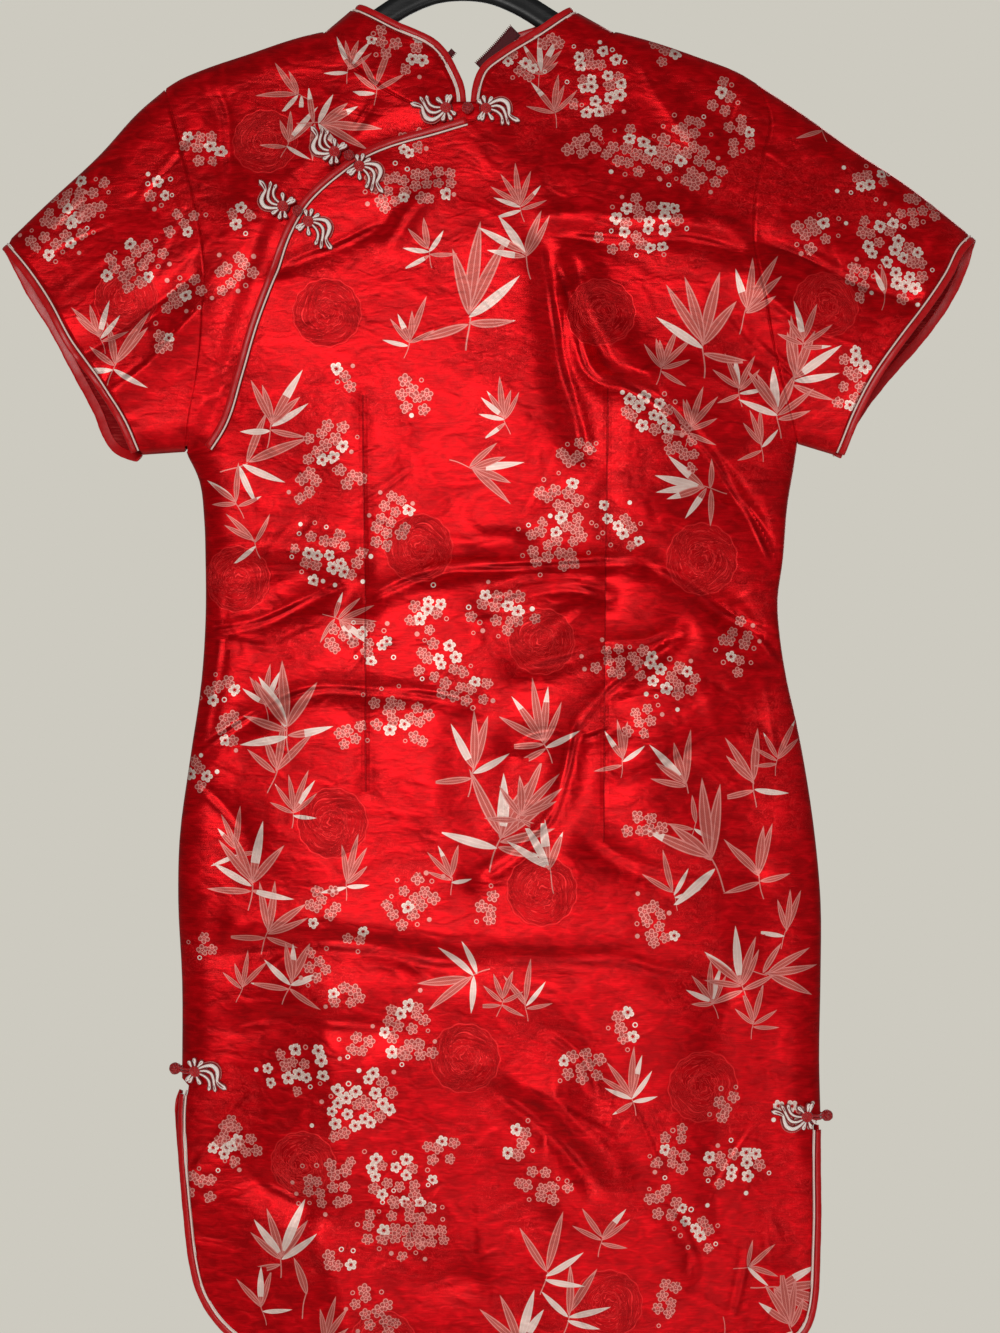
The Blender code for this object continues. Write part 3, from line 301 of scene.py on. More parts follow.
def table_np(rows, z, col):
    zs = np.array([r[0] for r in rows], float)
    vs = np.array([r[col] for r in rows], float)
    i = np.clip(np.searchsorted(-zs, -z) - 1, 0, len(rows) - 2)
    t = smooth((zs[i] - z) / (zs[i] - zs[i + 1]))
    return vs[i] + (vs[i + 1] - vs[i]) * t


def ripple(P, side):
    """Slight unevenness of hanging satin."""
    x, z = P[:, 0], P[:, 1]
    k = 0.0 if side == 'front' else 1.7
    a = np.sin(x / 31.0 + 1.3 * np.sin(z / 83.0 + k) + k) * np.sin(z / 67.0 + 0.8 * np.sin(x / 53.0) + 2 * k)
    b = np.sin((x + 0.6 * z) / 19.0 + np.sin(z / 41.0 + k)) * np.sin((z - 0.4 * x) / 37.0 + 1.1 + k)
    c = np.sin((x - 1.1 * z) / 12.5 + 2 * np.sin(x / 47.0 + k)) * np.sin((z + x) / 45.0 + 0.3)
    # drag lines that fan out from the waist
    t = np.exp(-((z + 560) / 95.0)**2) * np.sin((z + 0.22 * x + 6 * np.sin(x / 29.0 + k)) / 7.5)
    u = np.exp(-((z + 850) / 120.0)**2) * np.sin((z - 0.16 * x + 7 * np.sin(x / 43.0 + 1 + k)) / 10.5)
    g = np.sin(x / 57.0 + 1.9 * np.sin(z / 71.0) + k)
    return 1.05 * a + 0.75 * b + 0.30 * c + 0.55 * t * (0.6 + 0.4 * g) + 0.55 * u * (0.6 - 0.4 * g)


def depth(P, side):
    P = np.asarray(P, float)
    q = np.ones(len(P))
    f = np.ones(len(P))
    for line in FORM_LINES:
        d = dist_to(P, line)
        s = np.minimum(1.0, d / EDGE_R)
        q *= np.sqrt(np.maximum(0.0, 1 - (1 - s)**2))
        f *= smooth(d / PLAIN_R)
    z = P[:, 1]
    edge = table_np(DEPTHS, z, 3)
    full = table_np(DEPTHS, z, 1 if side == 'front' else 2)
    y = edge + (full - edge) * f
    k = np.minimum(1.0, f * 3 + 0.3)
    low, high = P.min(0), P.max(0)
    for sd, h, w, line in CREASE_LINES:
        if sd != side:
            continue
        lo, hi = line.min(0) - 3 * w, line.max(0) + 3 * w
        if (lo > high).any() or (hi < low).any():
            continue
        m = np.where((P[:, 0] > lo[0]) & (P[:, 0] < hi[0]) & (P[:, 1] > lo[1]) & (P[:, 1] < hi[1]))[0]
        if len(m):
            d = dist_to(P[m], line) / w
            # a crease is sharper on one flank and dies away unevenly along its length
            along = 0.78 + 0.22 * np.sin(P[m, 0] / 17.0 + P[m, 1] / 23.0 + h)
            y[m] += 1.45 * h * (0.62 * np.exp(-(d * 1.25)**1.5) + 0.38 * np.exp(-(d * 0.8)**2)) * k[m] * along
    y += ripple(P, side) * np.minimum(1.0, f * 4 + 0.15)
    return SEAM + q * np.maximum(6.0, y)


def place(P, side, out=0.0, inset=None, normals=False):
    """Points (N, 3) on the cloth's outer face over (x, z) points, moved out along the normal."""
    P = np.asarray(P, float)
    sg = -1.0 if side == 'front' else 1.0
    y = depth(P, side)
    if inset is not None:
        y = y - inset
    V = np.stack([P[:, 0], sg * y, P[:, 1]], 1)
    e = 0.8
    gx = (depth(P + [e, 0], side) - depth(P - [e, 0], side)) / (2 * e)
    gz = (depth(P + [0, e], side) - depth(P - [0, e], side)) / (2 * e)
    gx, gz = np.clip(gx, -3, 3), np.clip(gz, -3, 3)
    N = np.stack([-gx, np.full(len(P), sg), -gz], 1)
    N /= np.linalg.norm(N, axis=1)[:, None]
    V = V + N * (np.asarray(out)[:, None] if np.ndim(out) else out)
    return (V, N) if normals else V


# ======================= rows of the panels =======================
PIPE_IN = PIPE_R + 0.4
BIND_IN = PIPE_IN + PIPE_R + 0.35 + BIND_W
EDGE_IN = BIND_IN + BIND_W

NECKLINE = {'L': curve(NECK_L), 'R': curve(NECK_R), 'LB': curve(NECKBACK_L), 'RB': curve(NECKBACK_R)}
SHOULDER = {'L': curve(SHOULDER_L, 4), 'R': curve(SHOULDER_R, 4)}
ARMHOLE = {'L': curve(ARM_L), 'R': curve(ARM_R)}
SIDE = {'L': curve(SIDE_L, 4), 'R': curve(SIDE_R, 4)}
OPEN_LINE = curve(OPENING)
OPEN_EDGE = shifted(OPEN_LINE, PIPE_IN)
ARM_SHIFT = {'L': shifted(ARMHOLE['L'], ARM_GAP), 'R': shifted(ARMHOLE['R'], -ARM_GAP)}
NECK_SHIFT = {'L': shifted(NECKLINE['L'], -ARM_GAP), 'R': shifted(NECKLINE['R'], ARM_GAP),
              'LB': shifted(NECKLINE['LB'], -ARM_GAP), 'RB': shifted(NECKLINE['RB'], ARM_GAP)}
HEM_EDGE = {(w, s): shifted(curve((SLITEDGE_L if w == 'L' else SLITEDGE_R)[s], 5), EDGE_IN if w == 'L' else -EDGE_IN)
            for w in 'LR' for s in ('front', 'back')}


def outer_edge(which, side, z):
    if z >= SHOULDER[which][-1][1]:
        return at_z(SHOULDER[which], z)
    if z >= ARMHOLE[which][-1][1]:
        return at_z(ARM_SHIFT[which], z)
    if z >= (SLIT_L if which == 'L' else SLIT_R) - 3:
        return at_z(SIDE[which], z)
    return at_z(HEM_EDGE[(which, side)], z)


def heights(keys, step):
    """Row heights: the construction's own, with even ones between them."""
    out = []
    for a, b in zip(keys, keys[1:]):
        n = max(1, int(math.ceil((a - b) / step)))
        out += [lerp(a, b, k / n) for k in range(n)]
    return out + [keys[-1]]


Z_NECK = [-122, -127, -134, -142, -152, -161, -168, -177, -186, -193]
Z_OPEN = [-199, -205, -211, -219, -230, -243, -258, -276, -300, -330, -362, -392, -420, -436, -444]
Z_SIDE = [-458, -478, -502, -530, -558, -588, -619, -650, -690, -735, -785, -840, -885, -918]
Z_SKIRT = [-925, -933, -955, -963, -1000, -1040, -1068, -1090, -1107, -1119, -1126, -1130]
Z_BACK = [-122, -127, -134, -142, -152, -153.2, -161, -165.2, -168, -177, -193, -211, -230, -258, -276, -300, -330,
          -362, -392, -420, -436, -444, -458, -502, -530, -558, -588, -619, -650, -690, -735, -785, -840, -918,
          -925, -933, -955, -963, -1000, -1040, -1068, -1090, -1107, -1119, -1126, -1130]


def columns(n, left_fold, right_fold, w=0.72):
    out = []
    for k in range(n):
        t = k / (n - 1)
        e = w * (0.5 - 0.5 * math.cos(math.pi * t)) + (1 - w) * t
        if not left_fold:
            e = lerp(t, e, t)
        if not right_fold:
            e = lerp(e, t, t)
        out.append(e)
    return out


def front_rows():
    rows = []
    for z in heights(Z_NECK, GRID) + heights([-199] + Z_OPEN[1:] + Z_SIDE + Z_SKIRT, GRID):
        if z >= -193:
            lf = at_z(NECK_SHIFT['R'], z)
        elif z >= -445:
            lf = at_z(OPEN_EDGE, z)
        else:
            lf = outer_edge('L', 'front', z)
        rows.append((lf, outer_edge('R', 'front', z)))
    return rows


def shoulder_rows():
    rows = []
    lap = curve(UNDERLAP)
    for z in heights(Z_NECK[:-1] + [-190], GRID) + heights([-190.6, -196] + Z_OPEN + [-452, -460], GRID):
        lf = outer_edge('L', 'front', z)
        if z < -434:
            lf = lf + Vector((1.2 * float(smooth((-434 - z) / 8.0)), 0))
        rt = at_z(NECK_SHIFT['L'], z) if z >= -190 else at_z(lap, z)
        rows.append((lf, rt))
    return rows


def back_rows(which):
    rows = []
    edge = curve(ZIPEDGE_L if which == 'L' else ZIPEDGE_R)
    centre = curve(CENTRE_BACK)
    neck = NECKLINE['LB' if which == 'L' else 'RB']
    shifted_neck = NECK_SHIFT['LB' if which == 'L' else 'RB']
    sg = -1 if which == 'L' else 1
    neck_end = neck[-1][1]
    gap = 3.6
    for z in heights(Z_BACK, GRID):
        if z > neck_end:
            inner = at_z(shifted_neck, z)
        elif z > -300:
            inner = at_z(edge, z) + Vector((sg * min(gap, lerp(0.4, gap, float(smooth((-300 - z) / -60.0)))), 0))
        else:
            inner = at_z(centre, z) + Vector((sg * 0.4, 0))
        outer = outer_edge(which, 'back', z)
        rows.append((outer, inner) if which == 'L' else (inner, outer))
    return rows


# ======================= mesh building =======================
col = bpy.context.scene.collection
MATS = {}


def finish_mesh(ob, mats, smooth_shade=True):
    for m in mats:
        ob.data.materials.append(MATS[m])
    if smooth_shade:
        ob.data.polygons.foreach_set('use_smooth', np.ones(len(ob.data.polygons), bool))
    return ob


def new_object(name, V, F, mats, face_mats=None, smooth_shade=True, scale=MM):
    me = bpy.data.meshes.new(name)
    me.from_pydata((np.asarray(V, float) * scale).tolist(), [], [tuple(int(i) for i in f) for f in F])
    me.validate()
    ob = bpy.data.objects.new(name, me)
    col.objects.link(ob)
    finish_mesh(ob, mats, smooth_shade)
    if face_mats is not None:
        me.polygons.foreach_set('material_index', np.asarray(face_mats, np.int32))
    me.update()
    return ob


def grid_faces(rows, cols, flip=False, closed=False):
    out = []
    for i in range(rows - 1):
        for j in range(cols if closed else cols - 1):
            a, b = i * cols + j, i * cols + (j + 1) % cols
            c, d = b + cols, a + cols
            out.append((a, d, c, b) if flip else (a, b, c, d))
    return out


def shell(name, V, N, rows, cols, mats, flip=False, closed=False, wall=WALL, wall_of=None):
    """Cloth with an outer face, an inner face and a rim. V, N: (rows*cols, 3)."""
    n = rows * cols
    thick = wall if wall_of is None else wall_of[:, None]
    W = V - N * thick
    F = grid_faces(rows, cols, flip, closed)
    # both faces are split along the same diagonal, so they stay a wall apart on tight folds
    faces = list(F) + [(n + f[0], n + f[3], n + f[2], n + f[1]) for f in F]
    kinds = [0] * len(F) + [1] * len(F)
    # rim: every edge used once
    seen = {}
    for f in F:
        for a, b in zip(f, f[1:] + f[:1]):
            if (b, a) in seen:
                del seen[(b, a)]
            else:
                seen[(a, b)] = 1
    for a, b in seen:
        faces.append((b, a, n + a, n + b))
        kinds.append(0)
    ob = new_object(name, np.vstack([V, W]), faces, mats, kinds)
    return ob


def panel_points(rows, cols):
    P = np.array([[tuple(lf.lerp(rt, c)) for c in cols] for lf, rt in rows])
    return P.reshape(-1, 2)


def panel(name, rows, cols, side, mats, inset=None):
    P = panel_points(rows, cols)
    V, N = place(P, side, 0.0, inset(P) if inset is not None else None, normals=True)
    ob = shell(name, V, N, len(rows), len(cols), mats, flip=(side == 'back'))
    return ob, P, V, N


OPEN_NP = np.array([tuple(p) for p in OPEN_LINE])


def under_inset(P):
    d = dist_to(P, OPEN_NP)
    xs = np.interp(-P[:, 1], -OPEN_NP[:, 1], OPEN_NP[:, 0])
    inside = (P[:, 1] < OPEN_NP[0, 1]) & (P[:, 0] > xs)
    k = np.where(inside, 1.0, 1.0 - smooth((d - 11.0) / 14.0))
    return 3.3 * k * smooth(depth(P, 'front') / 5.0)


def sleeve_grid(which, fr, bk, across):
    """Rings of (x, z) points with the side each lies on, armhole to cuff."""
    sg = 1 if which == 'L' else -1
    cix = 0 if which == 'L' else 1
    top_z, low_z = SHOULDER[which][-1][1], ARMHOLE[which][-1][1]
    tops = curve(SLEEVETOP_L if which == 'L' else SLEEVETOP_R, 5)
    under = ARMHOLE[which][-1]
    cuff = CUFF_L if which == 'L' else CUFF_R
    sides = []
    for side, rows in (('front', fr), ('back', bk)):
        arm = [r[cix] for r in rows if low_z + 0.3 <= r[cix][1] < top_z - 0.3]
        if side == 'front' and which == 'L':
            arm = [p if p[1] > -425 else at_z(ARM_SHIFT['L'], p[1]) for p in arm]
        edge = [Vector(SHOULDER[which][-1])] + shifted(arm, -sg * 2 * ARM_GAP) + [Vector(under)]
        cum = [0.0]
        for a, b in zip(edge, edge[1:]):
            cum.append(cum[-1] + (b - a).length)
        ss = [c / cum[-1] for c in cum]
        sides.append((side, edge, ss, resample(curve(cuff[side], 6), 401)))
    T = resample(tops, 241)
    end = Vector(cuff['front'][0])
    T = [p for p in T if (p[0] - end[0]) * sg > 0] + [end]
    B = [Vector(under), Vector(cuff['front'][-1])]
    T[0] = Vector(SHOULDER[which][-1]) + Vector((-sg * 0.7, -0.3))
    B[0] = Vector(under) + Vector((-sg * 0.8, 0.2))
    Tn, Bn = resample(T, across), resample(B, across)
    rings = []
    for i in range(across):
        r = i / (across - 1)
        ring = []
        for side, edge, ss, cend in sides:
            seq = []
            for k, s in enumerate(ss):
                A = edge[k] if 0 < k < len(ss) - 1 else (Tn[0] if k == 0 else Bn[0])
                C = cend[min(400, int(round(s * 400)))]
                p = A * (1 - r) + C * r + Tn[i] * (1 - s) + Bn[i] * s \
                    - (Tn[0] * (1 - r) * (1 - s) + Tn[-1] * r * (1 - s) + Bn[0] * (1 - r) * s + Bn[-1] * r * s)
                seq.append((p, side))
            seq[0], seq[-1] = (seq[0][0], 'fold'), (seq[-1][0], 'fold')
            ring.append(seq)
        rings.append(ring[0] + list(reversed(ring[1]))[1:-1])
    return rings


def ring_points(rings):
    """Outer points and normals for rings of (point, side)."""
    flat = [q for ring in rings for q in ring]
    P = np.array([tuple(p) for p, s in flat])
    V, N = np.zeros((len(P), 3)), np.zeros((len(P), 3))
    S = np.array([s for p, s in flat])
    for side in ('front', 'back'):
        m = (S == side) if side == 'back' else (S != 'back')
        V[m], N[m] = place(P[m], side, 0.0, normals=True)
    fold = S == 'fold'
    V[fold, 1] = 0.0
    n = len(rings[0])
    for i in np.where(fold)[0]:
        r = i // n
        a, b = r * n + (i - 1) % n, r * n + (i + 1) % n
        m = N[a] + N[b]
        m[1] = 0.0
        L = np.linalg.norm(m)
        N[i] = m / L if L > 1e-6 else N[i]
    return P, V, N, S


def collar_lean(h, side):
    amt = 3.0 * smooth(h)
    return amt if side == 'front' else (-amt if side == 'back' else 0.0)


def collar_grid(which, fr, bk, levels):
    sg = 1 if which == 'L' else -1
    cix = 1 if which == 'L' else 0
    low = -190.5 if which == 'L' else -193.5
    f_neck = [r[cix] for r in fr if r[cix][1] >= low]
    nb = NECKLINE['LB' if which == 'L' else 'RB']
    b_neck = [r[cix] for r in bk if r[cix][1] > nb[-1][1] + 0.3]
    f_seam = shifted(f_neck, sg * 2 * ARM_GAP)
    b_seam = shifted(b_neck, sg * 2 * ARM_GAP) + [nb[-1] + Vector((0, 0.9))]
    top_f = shifted(curve(COLLARTOP_L if which == 'L' else COLLARTOP_R, 5), -sg * EDGE_IN)
    top_b = shifted(curve(COLLARBACK_L if which == 'L' else COLLARBACK_R, 5), -sg * EDGE_IN)
    fold_top = (Vector(top_f[0]) + Vector(top_b[0])) / 2
    nf, nbk = len(f_seam), len(b_seam)
    tf, tb = resample(top_f, nf), resample(top_b, nbk)
    seq = [(f_seam[k], tf[k], 'front') for k in range(nf - 1, 0, -1)]
    seq.append(((f_seam[0] + b_seam[0]) / 2, fold_top, 'fold'))
    seq += [(b_seam[k], tb[k], 'back') for k in range(1, nbk)]
    rings, tops = [], []
    for s, t, side in seq:
        rings.append([(s.lerp(t, j / (levels - 1)), side) for j in range(levels)])
        tops.append((t, side))
    return rings, tops


def collar(name, which, fr, bk, mats, levels=14):
    rings, tops = collar_grid(which, fr, bk, levels)
    P, V, N, S = ring_points(rings)
    for i in range(len(V)):
        V[i, 1] += 0.0 if S[i] == 'fold' else collar_lean((i % levels) / (levels - 1), S[i])
    # the normal at the fold comes from its neighbours in the next columns
    n = levels
    for i in np.where(S == 'fold')[0]:
        m = N[i - n] + N[i + n]
        m[1] = 0.0
        N[i] = m / max(1e-6, np.linalg.norm(m))
    ob = shell(name, V, N, len(rings), levels, mats, flip=(which == 'R'))
    return ob, P, V, N, S, tops


# ======================= shader graph helper =======================
class Sock:
    """A shader output that can be used in arithmetic."""
    def __init__(self, g, out):
        self.g, self.out = g, out

    def __add__(self, o): return self.g.m('ADD', self, o)
    def __radd__(self, o): return self.g.m('ADD', o, self)
    def __sub__(self, o): return self.g.m('SUBTRACT', self, o)
    def __rsub__(self, o): return self.g.m('SUBTRACT', o, self)
    def __mul__(self, o): return self.g.m('MULTIPLY', self, o)
    def __rmul__(self, o): return self.g.m('MULTIPLY', o, self)
    def __truediv__(self, o): return self.g.m('DIVIDE', self, o)
    def __neg__(self): return self.g.m('MULTIPLY', self, -1.0)


class Graph:
    def __init__(self, tree):
        self.t = tree

    def put(self, value, socket):
        if isinstance(value, Sock):
            self.t.links.new(value.out, socket)
        elif value is not None:
            socket.default_value = value

    def node(self, kind, ins=None, out=0, **props):
        n = self.t.nodes.new(kind)
        for k, v in props.items():
            setattr(n, k, v)
        for k, v in (ins or {}).items():
            self.put(v, n.inputs[k])
        return Sock(self, n.outputs[out])

    def m(self, op, a, b=None, c=None, clamp=False):
        n = self.t.nodes.new('ShaderNodeMath')
        n.operation = op
        n.use_clamp = clamp
        for i, v in enumerate((a, b, c)):
            self.put(v, n.inputs[i])
        return Sock(self, n.outputs[0])

    def step(self, d, soft=0.18):
        """1 inside (d < 0), 0 outside, with a soft edge."""
        return self.m('MULTIPLY_ADD', d, -0.5 / soft, 0.5, clamp=True)

    def split(self, vec):
        n = self.t.nodes.new('ShaderNodeSeparateXYZ')
        self.put(vec, n.inputs[0])
        return [Sock(self, o) for o in n.outputs]

    def join(self, x, y, z):
        return self.node('ShaderNodeCombineXYZ', {0: x, 1: y, 2: z})

    def mix(self, f, a, b):
        n = self.t.nodes.new('ShaderNodeMix')
        n.data_type = 'RGBA'
        self.put(f, n.inputs['Factor'])
        for v, s in ((a, n.inputs[6]), (b, n.inputs[7])):
            if isinstance(v, Sock):
                self.put(v, s)
            else:
                s.default_value = (*v, 1.0)
        return Sock(self, n.outputs[2])

    def ramp(self, f, stops):
        n = self.t.nodes.new('ShaderNodeValToRGB')
        self.put(f, n.inputs[0])
        e = n.color_ramp.elements
        while len(e) < len(stops):
            e.new(0.5)
        for el, (p, c) in zip(e, stops):
            el.position = p
            el.color = (*c, 1.0) if not isinstance(c, float) else (c, c, c, 1.0)
        return Sock(self, n.outputs[0])

    def noise(self, vec, scale, detail=3.0, rough=0.5, dist=0.0):
        return self.node('ShaderNodeTexNoise', {'Vector': vec, 'Scale': scale, 'Detail': detail,
                                                'Roughness': rough, 'Distortion': dist})


def srgb(r, g, b):
    def f(c):
        c /= 255.0
        return c / 12.92 if c <= 0.04045 else ((c + 0.055) / 1.055) ** 2.4
    return (f(r), f(g), f(b))


RED = srgb(202, 0, 12)
RED_DARK = srgb(170, 0, 8)
RED_LIGHT = srgb(232, 4, 20)
SALMON = srgb(204, 108, 98)
PALE = srgb(226, 146, 138)
WHITE = srgb(240, 222, 212)
GAP_RED = srgb(130, 6, 10)


def new_material(name):
    mat = bpy.data.materials.new(name)
    mat.use_nodes = True
    tree = mat.node_tree
    bsdf = tree.nodes['Principled BSDF']
    return mat, Graph(tree), bsdf


# ---- the woven motifs, each drawn in its own small frame (millimetres) ----
# direction in degrees, length, half width, distance of its foot from the fan's foot
# one bamboo spray: leaf angle, length, half width, foot of the leaf along the twig (mm)
LEAVES = [(-58, 41, 3.2, 0.5), (-31, 50, 3.9, 3.0), (-7, 56, 4.2, 6.0), (16, 51, 3.9, 2.0),
          (41, 46, 3.6, 4.5), (66, 38, 3.1, 0.5), (-98, 36, 2.9, -3.0), (104, 37, 3.0, -4.0)]


def fan_group():
    t = bpy.data.node_groups.new('bamboo spray', 'ShaderNodeTree')
    t.interface.new_socket('Place', in_out='INPUT', socket_type='NodeSocketVector')
    for n in ('Fill', 'Line', 'Bright'):
        t.interface.new_socket(n, in_out='OUTPUT', socket_type='NodeSocketFloat')
    g = Graph(t)
    gi, go = t.nodes.new('NodeGroupInput'), t.nodes.new('NodeGroupOutput')
    u, v, seed = g.split(Sock(g, gi.outputs[0]))
    fill = line = pale_leaf_and_glint = None
    for k, (ang, L, W, foot) in enumerate(LEAVES):
        # each leaf turns and shrinks a little differently in every spray, and some are missing
        swing = g.m('SINE', seed * (7.3 + 2.1 * k) + k * 1.7)
        a = swing * 0.15 + math.radians(ang)
        ca, sa = g.m('COSINE', a), g.m('SINE', a)
        ux = u - foot
        x = ux * ca + v * sa
        y = v * ca - ux * sa
        other = g.m('SINE', seed * (5.9 + 3.3 * k) + k * 2.6)
        ln = other * (0.19 * L) + 0.90 * L
        s = g.m('DIVIDE', x, ln)
        within = g.m('GREATER_THAN', s, 0.0) * g.m('GREATER_THAN', 1.0, s)
        s = g.m('MULTIPLY', s, 1.0, clamp=True)
        p = g.m('POWER', s, 0.80)
        w = p * (1.0 - p) * (4.0 * W)
        bend = s * s * (4.0 * math.cos(k * 2.1))
        d = g.m('ABSOLUTE', y - bend) - w
        here = g.m('GREATER_THAN', other + swing * 0.5, -0.95 if 0 < k < 5 else -0.25) * within
        f_ = g.step(d + 0.95, 0.15) * here
        l_ = g.step(d, 0.2) * here
        vein = g.step(g.m('ABSOLUTE', y - bend) - 0.30, 0.12) * here
        ring = g.m('MAXIMUM', l_ - f_, vein * l_)
        # painted glint: some leaves, side leaves more often and towards their tips, are flagged to take a pale silvery
        # colour; partly the silver thread's own colour, partly a painted glint of it
        tipped = g.m('SINE', seed * (11.1 + 3.7 * k) + 2.9 * k)
        b_ = g.m('GREATER_THAN', tipped + s * 0.45, 1.02 if abs(ang) < 50 else 0.52)
        if fill is None:
            fill, line, pale_leaf_and_glint = l_, ring, b_ * l_
        else:
            fill = g.m('MAXIMUM', fill, l_)
            line = g.m('MAXIMUM', line * (1.0 - l_), ring)
            pale_leaf_and_glint = g.m('MAXIMUM', pale_leaf_and_glint * (1.0 - l_), b_ * l_)
    # twig, from the foot downwards
    wob = g.m('SINE', u * 0.14 + seed * 5.0) * 1.1
    stem = g.step(g.m('ABSOLUTE', v - wob) - 0.5, 0.2) * g.m('GREATER_THAN', 5.0, u) * g.m('GREATER_THAN', u, -21.0)
    stem = stem * (1.0 - fill)
    line = g.m('MAXIMUM', line, stem)
    fill = g.m('MAXIMUM', fill, stem)
    for i, s in enumerate((fill, line, pale_leaf_and_glint)):
        g.put(s, go.inputs[i])
    return t


def bloom_group():
    """A bough of plum blossom: one flower, bud or ring in each jittered cell of the bough."""
    t = bpy.data.node_groups.new('plum blossom', 'ShaderNodeTree')
    t.interface.new_socket('Place', in_out='INPUT', socket_type='NodeSocketVector')
    for n in ('Petal', 'Line', 'Heart', 'Kind'):
        t.interface.new_socket(n, in_out='OUTPUT', socket_type='NodeSocketFloat')
    g = Graph(t)
    gi, go = t.nodes.new('NodeGroupInput'), t.nodes.new('NodeGroupOutput')
    u, v, code = g.split(Sock(g, gi.outputs[0]))
    seed = g.m('FRACT', code)
    reach = code - seed
    PITCH = 0.106
    ox, oy = seed * 57.0, seed * 31.0
    vor = t.nodes.new('ShaderNodeTexVoronoi')
    vor.voronoi_dimensions, vor.feature = '2D', 'F1'
    g.put(g.join(u * PITCH + ox, v * PITCH + oy, 0.0), vor.inputs['Vector'])
    vor.inputs['Scale'].default_value = 1.0
    vor.inputs['Randomness'].default_value = 0.58
    r1, r2, r3 = g.split(Sock(g, vor.outputs['Color']))
    px_, py_, _ = g.split(Sock(g, vor.outputs['Position']))
    cx, cy = (px_ - ox) * (1.0 / PITCH), (py_ - oy) * (1.0 / PITCH)
    u, v = u - cx, v - cy
    cv = cy * 1.45
    rho = g.m('DIVIDE', g.m('SQRT', cx * cx + cv * cv), reach)
    keep = g.m('GREATER_THAN', 1.12 - r1 * 0.42, rho)
    big = g.m('GREATER_THAN', 0.98 - r2 * 0.42, rho)
    white = g.m('GREATER_THAN', r3 + g.m('GREATER_THAN', seed, 0.5) * 0.42, 0.86)
    size = 0.70 + r1 * 0.20
    r = g.m('DIVIDE', g.m('SQRT', u * u + v * v), size)
    th = g.m('ARCTAN2', v, u) + r1 * 6.28
    fold = g.m('PINGPONG', th + math.radians(360.0), math.radians(36.0))
    px, py = r * g.m('COSINE', fold), r * g.m('SINE', fold)
    dx = px - 3.70
    d = g.m('SQRT', dx * dx + py * py) - 2.30
    petal = g.step(d, 0.16)
    inner = g.step(d + 0.85, 0.16)
    line = petal - inner
    heart = g.m('MAXIMUM', g.step(r - 0.9, 0.15), g.step(g.m('ABSOLUTE', r - 2.0) - 0.16, 0.12))
    # at the ends of the bough: round buds, and rings
    bud = g.step(r - 2.3, 0.15)
    hollow = bud - g.step(r - 1.4, 0.15)
    ring = g.m('GREATER_THAN', r2, 0.5)
    small = g.mix(ring, bud, hollow)
    small = g.split(small)[0]
    petal = (petal * big + small * (1.0 - big)) * keep
    line = (line * big + small * (1.0 - big)) * keep
    for i, s in enumerate((petal, line, heart * big * keep, white)):
        g.put(s, go.inputs[i])
    return t


def medal_group():
    t = bpy.data.node_groups.new('scroll medallion', 'ShaderNodeTree')
    t.interface.new_socket('Place', in_out='INPUT', socket_type='NodeSocketVector')
    for n in ('Rim', 'Disc'):
        t.interface.new_socket(n, in_out='OUTPUT', socket_type='NodeSocketFloat')
    g = Graph(t)
    gi, go = t.nodes.new('NodeGroupInput'), t.nodes.new('NodeGroupOutput')
    u, v, seed = g.split(Sock(g, gi.outputs[0]))
    r = g.m('SQRT', u * u + v * v)
    th = g.m('ARCTAN2', v, u)
    wob = g.m('SINE', th * 14.0) * 0.5
    swirl = r * 0.16 + g.m('SINE', th * 3.0 + r * 0.2) * 0.5
    cu, cv = r * g.m('COSINE', th + swirl), r * g.m('SINE', th + swirl)
    worm = g.node('ShaderNodeTexNoise', {'Vector': g.join(cu, cv, 0.0), 'Scale': 0.16, 'Detail': 0.0, 'Distortion': 1.3},
                  noise_dimensions='2D')
    scroll = g.step(g.m('ABSOLUTE', g.m('FRACT', worm * 5.5) - 0.5) - 0.15, 0.05) * g.m('GREATER_THAN', 25.0, r)
    rim = g.step(g.m('ABSOLUTE', r - 25.9 + wob) - 0.45, 0.3) * 0.7
    rim2 = g.step(g.m('ABSOLUTE', r - 9.5 + wob) - 0.4, 0.3) * 0.7
    g.put(g.m('MAXIMUM', g.m('MAXIMUM', rim, rim2), scroll), go.inputs[0])
    g.put(g.step(r - 26.2, 0.4), go.inputs[1])
    return t


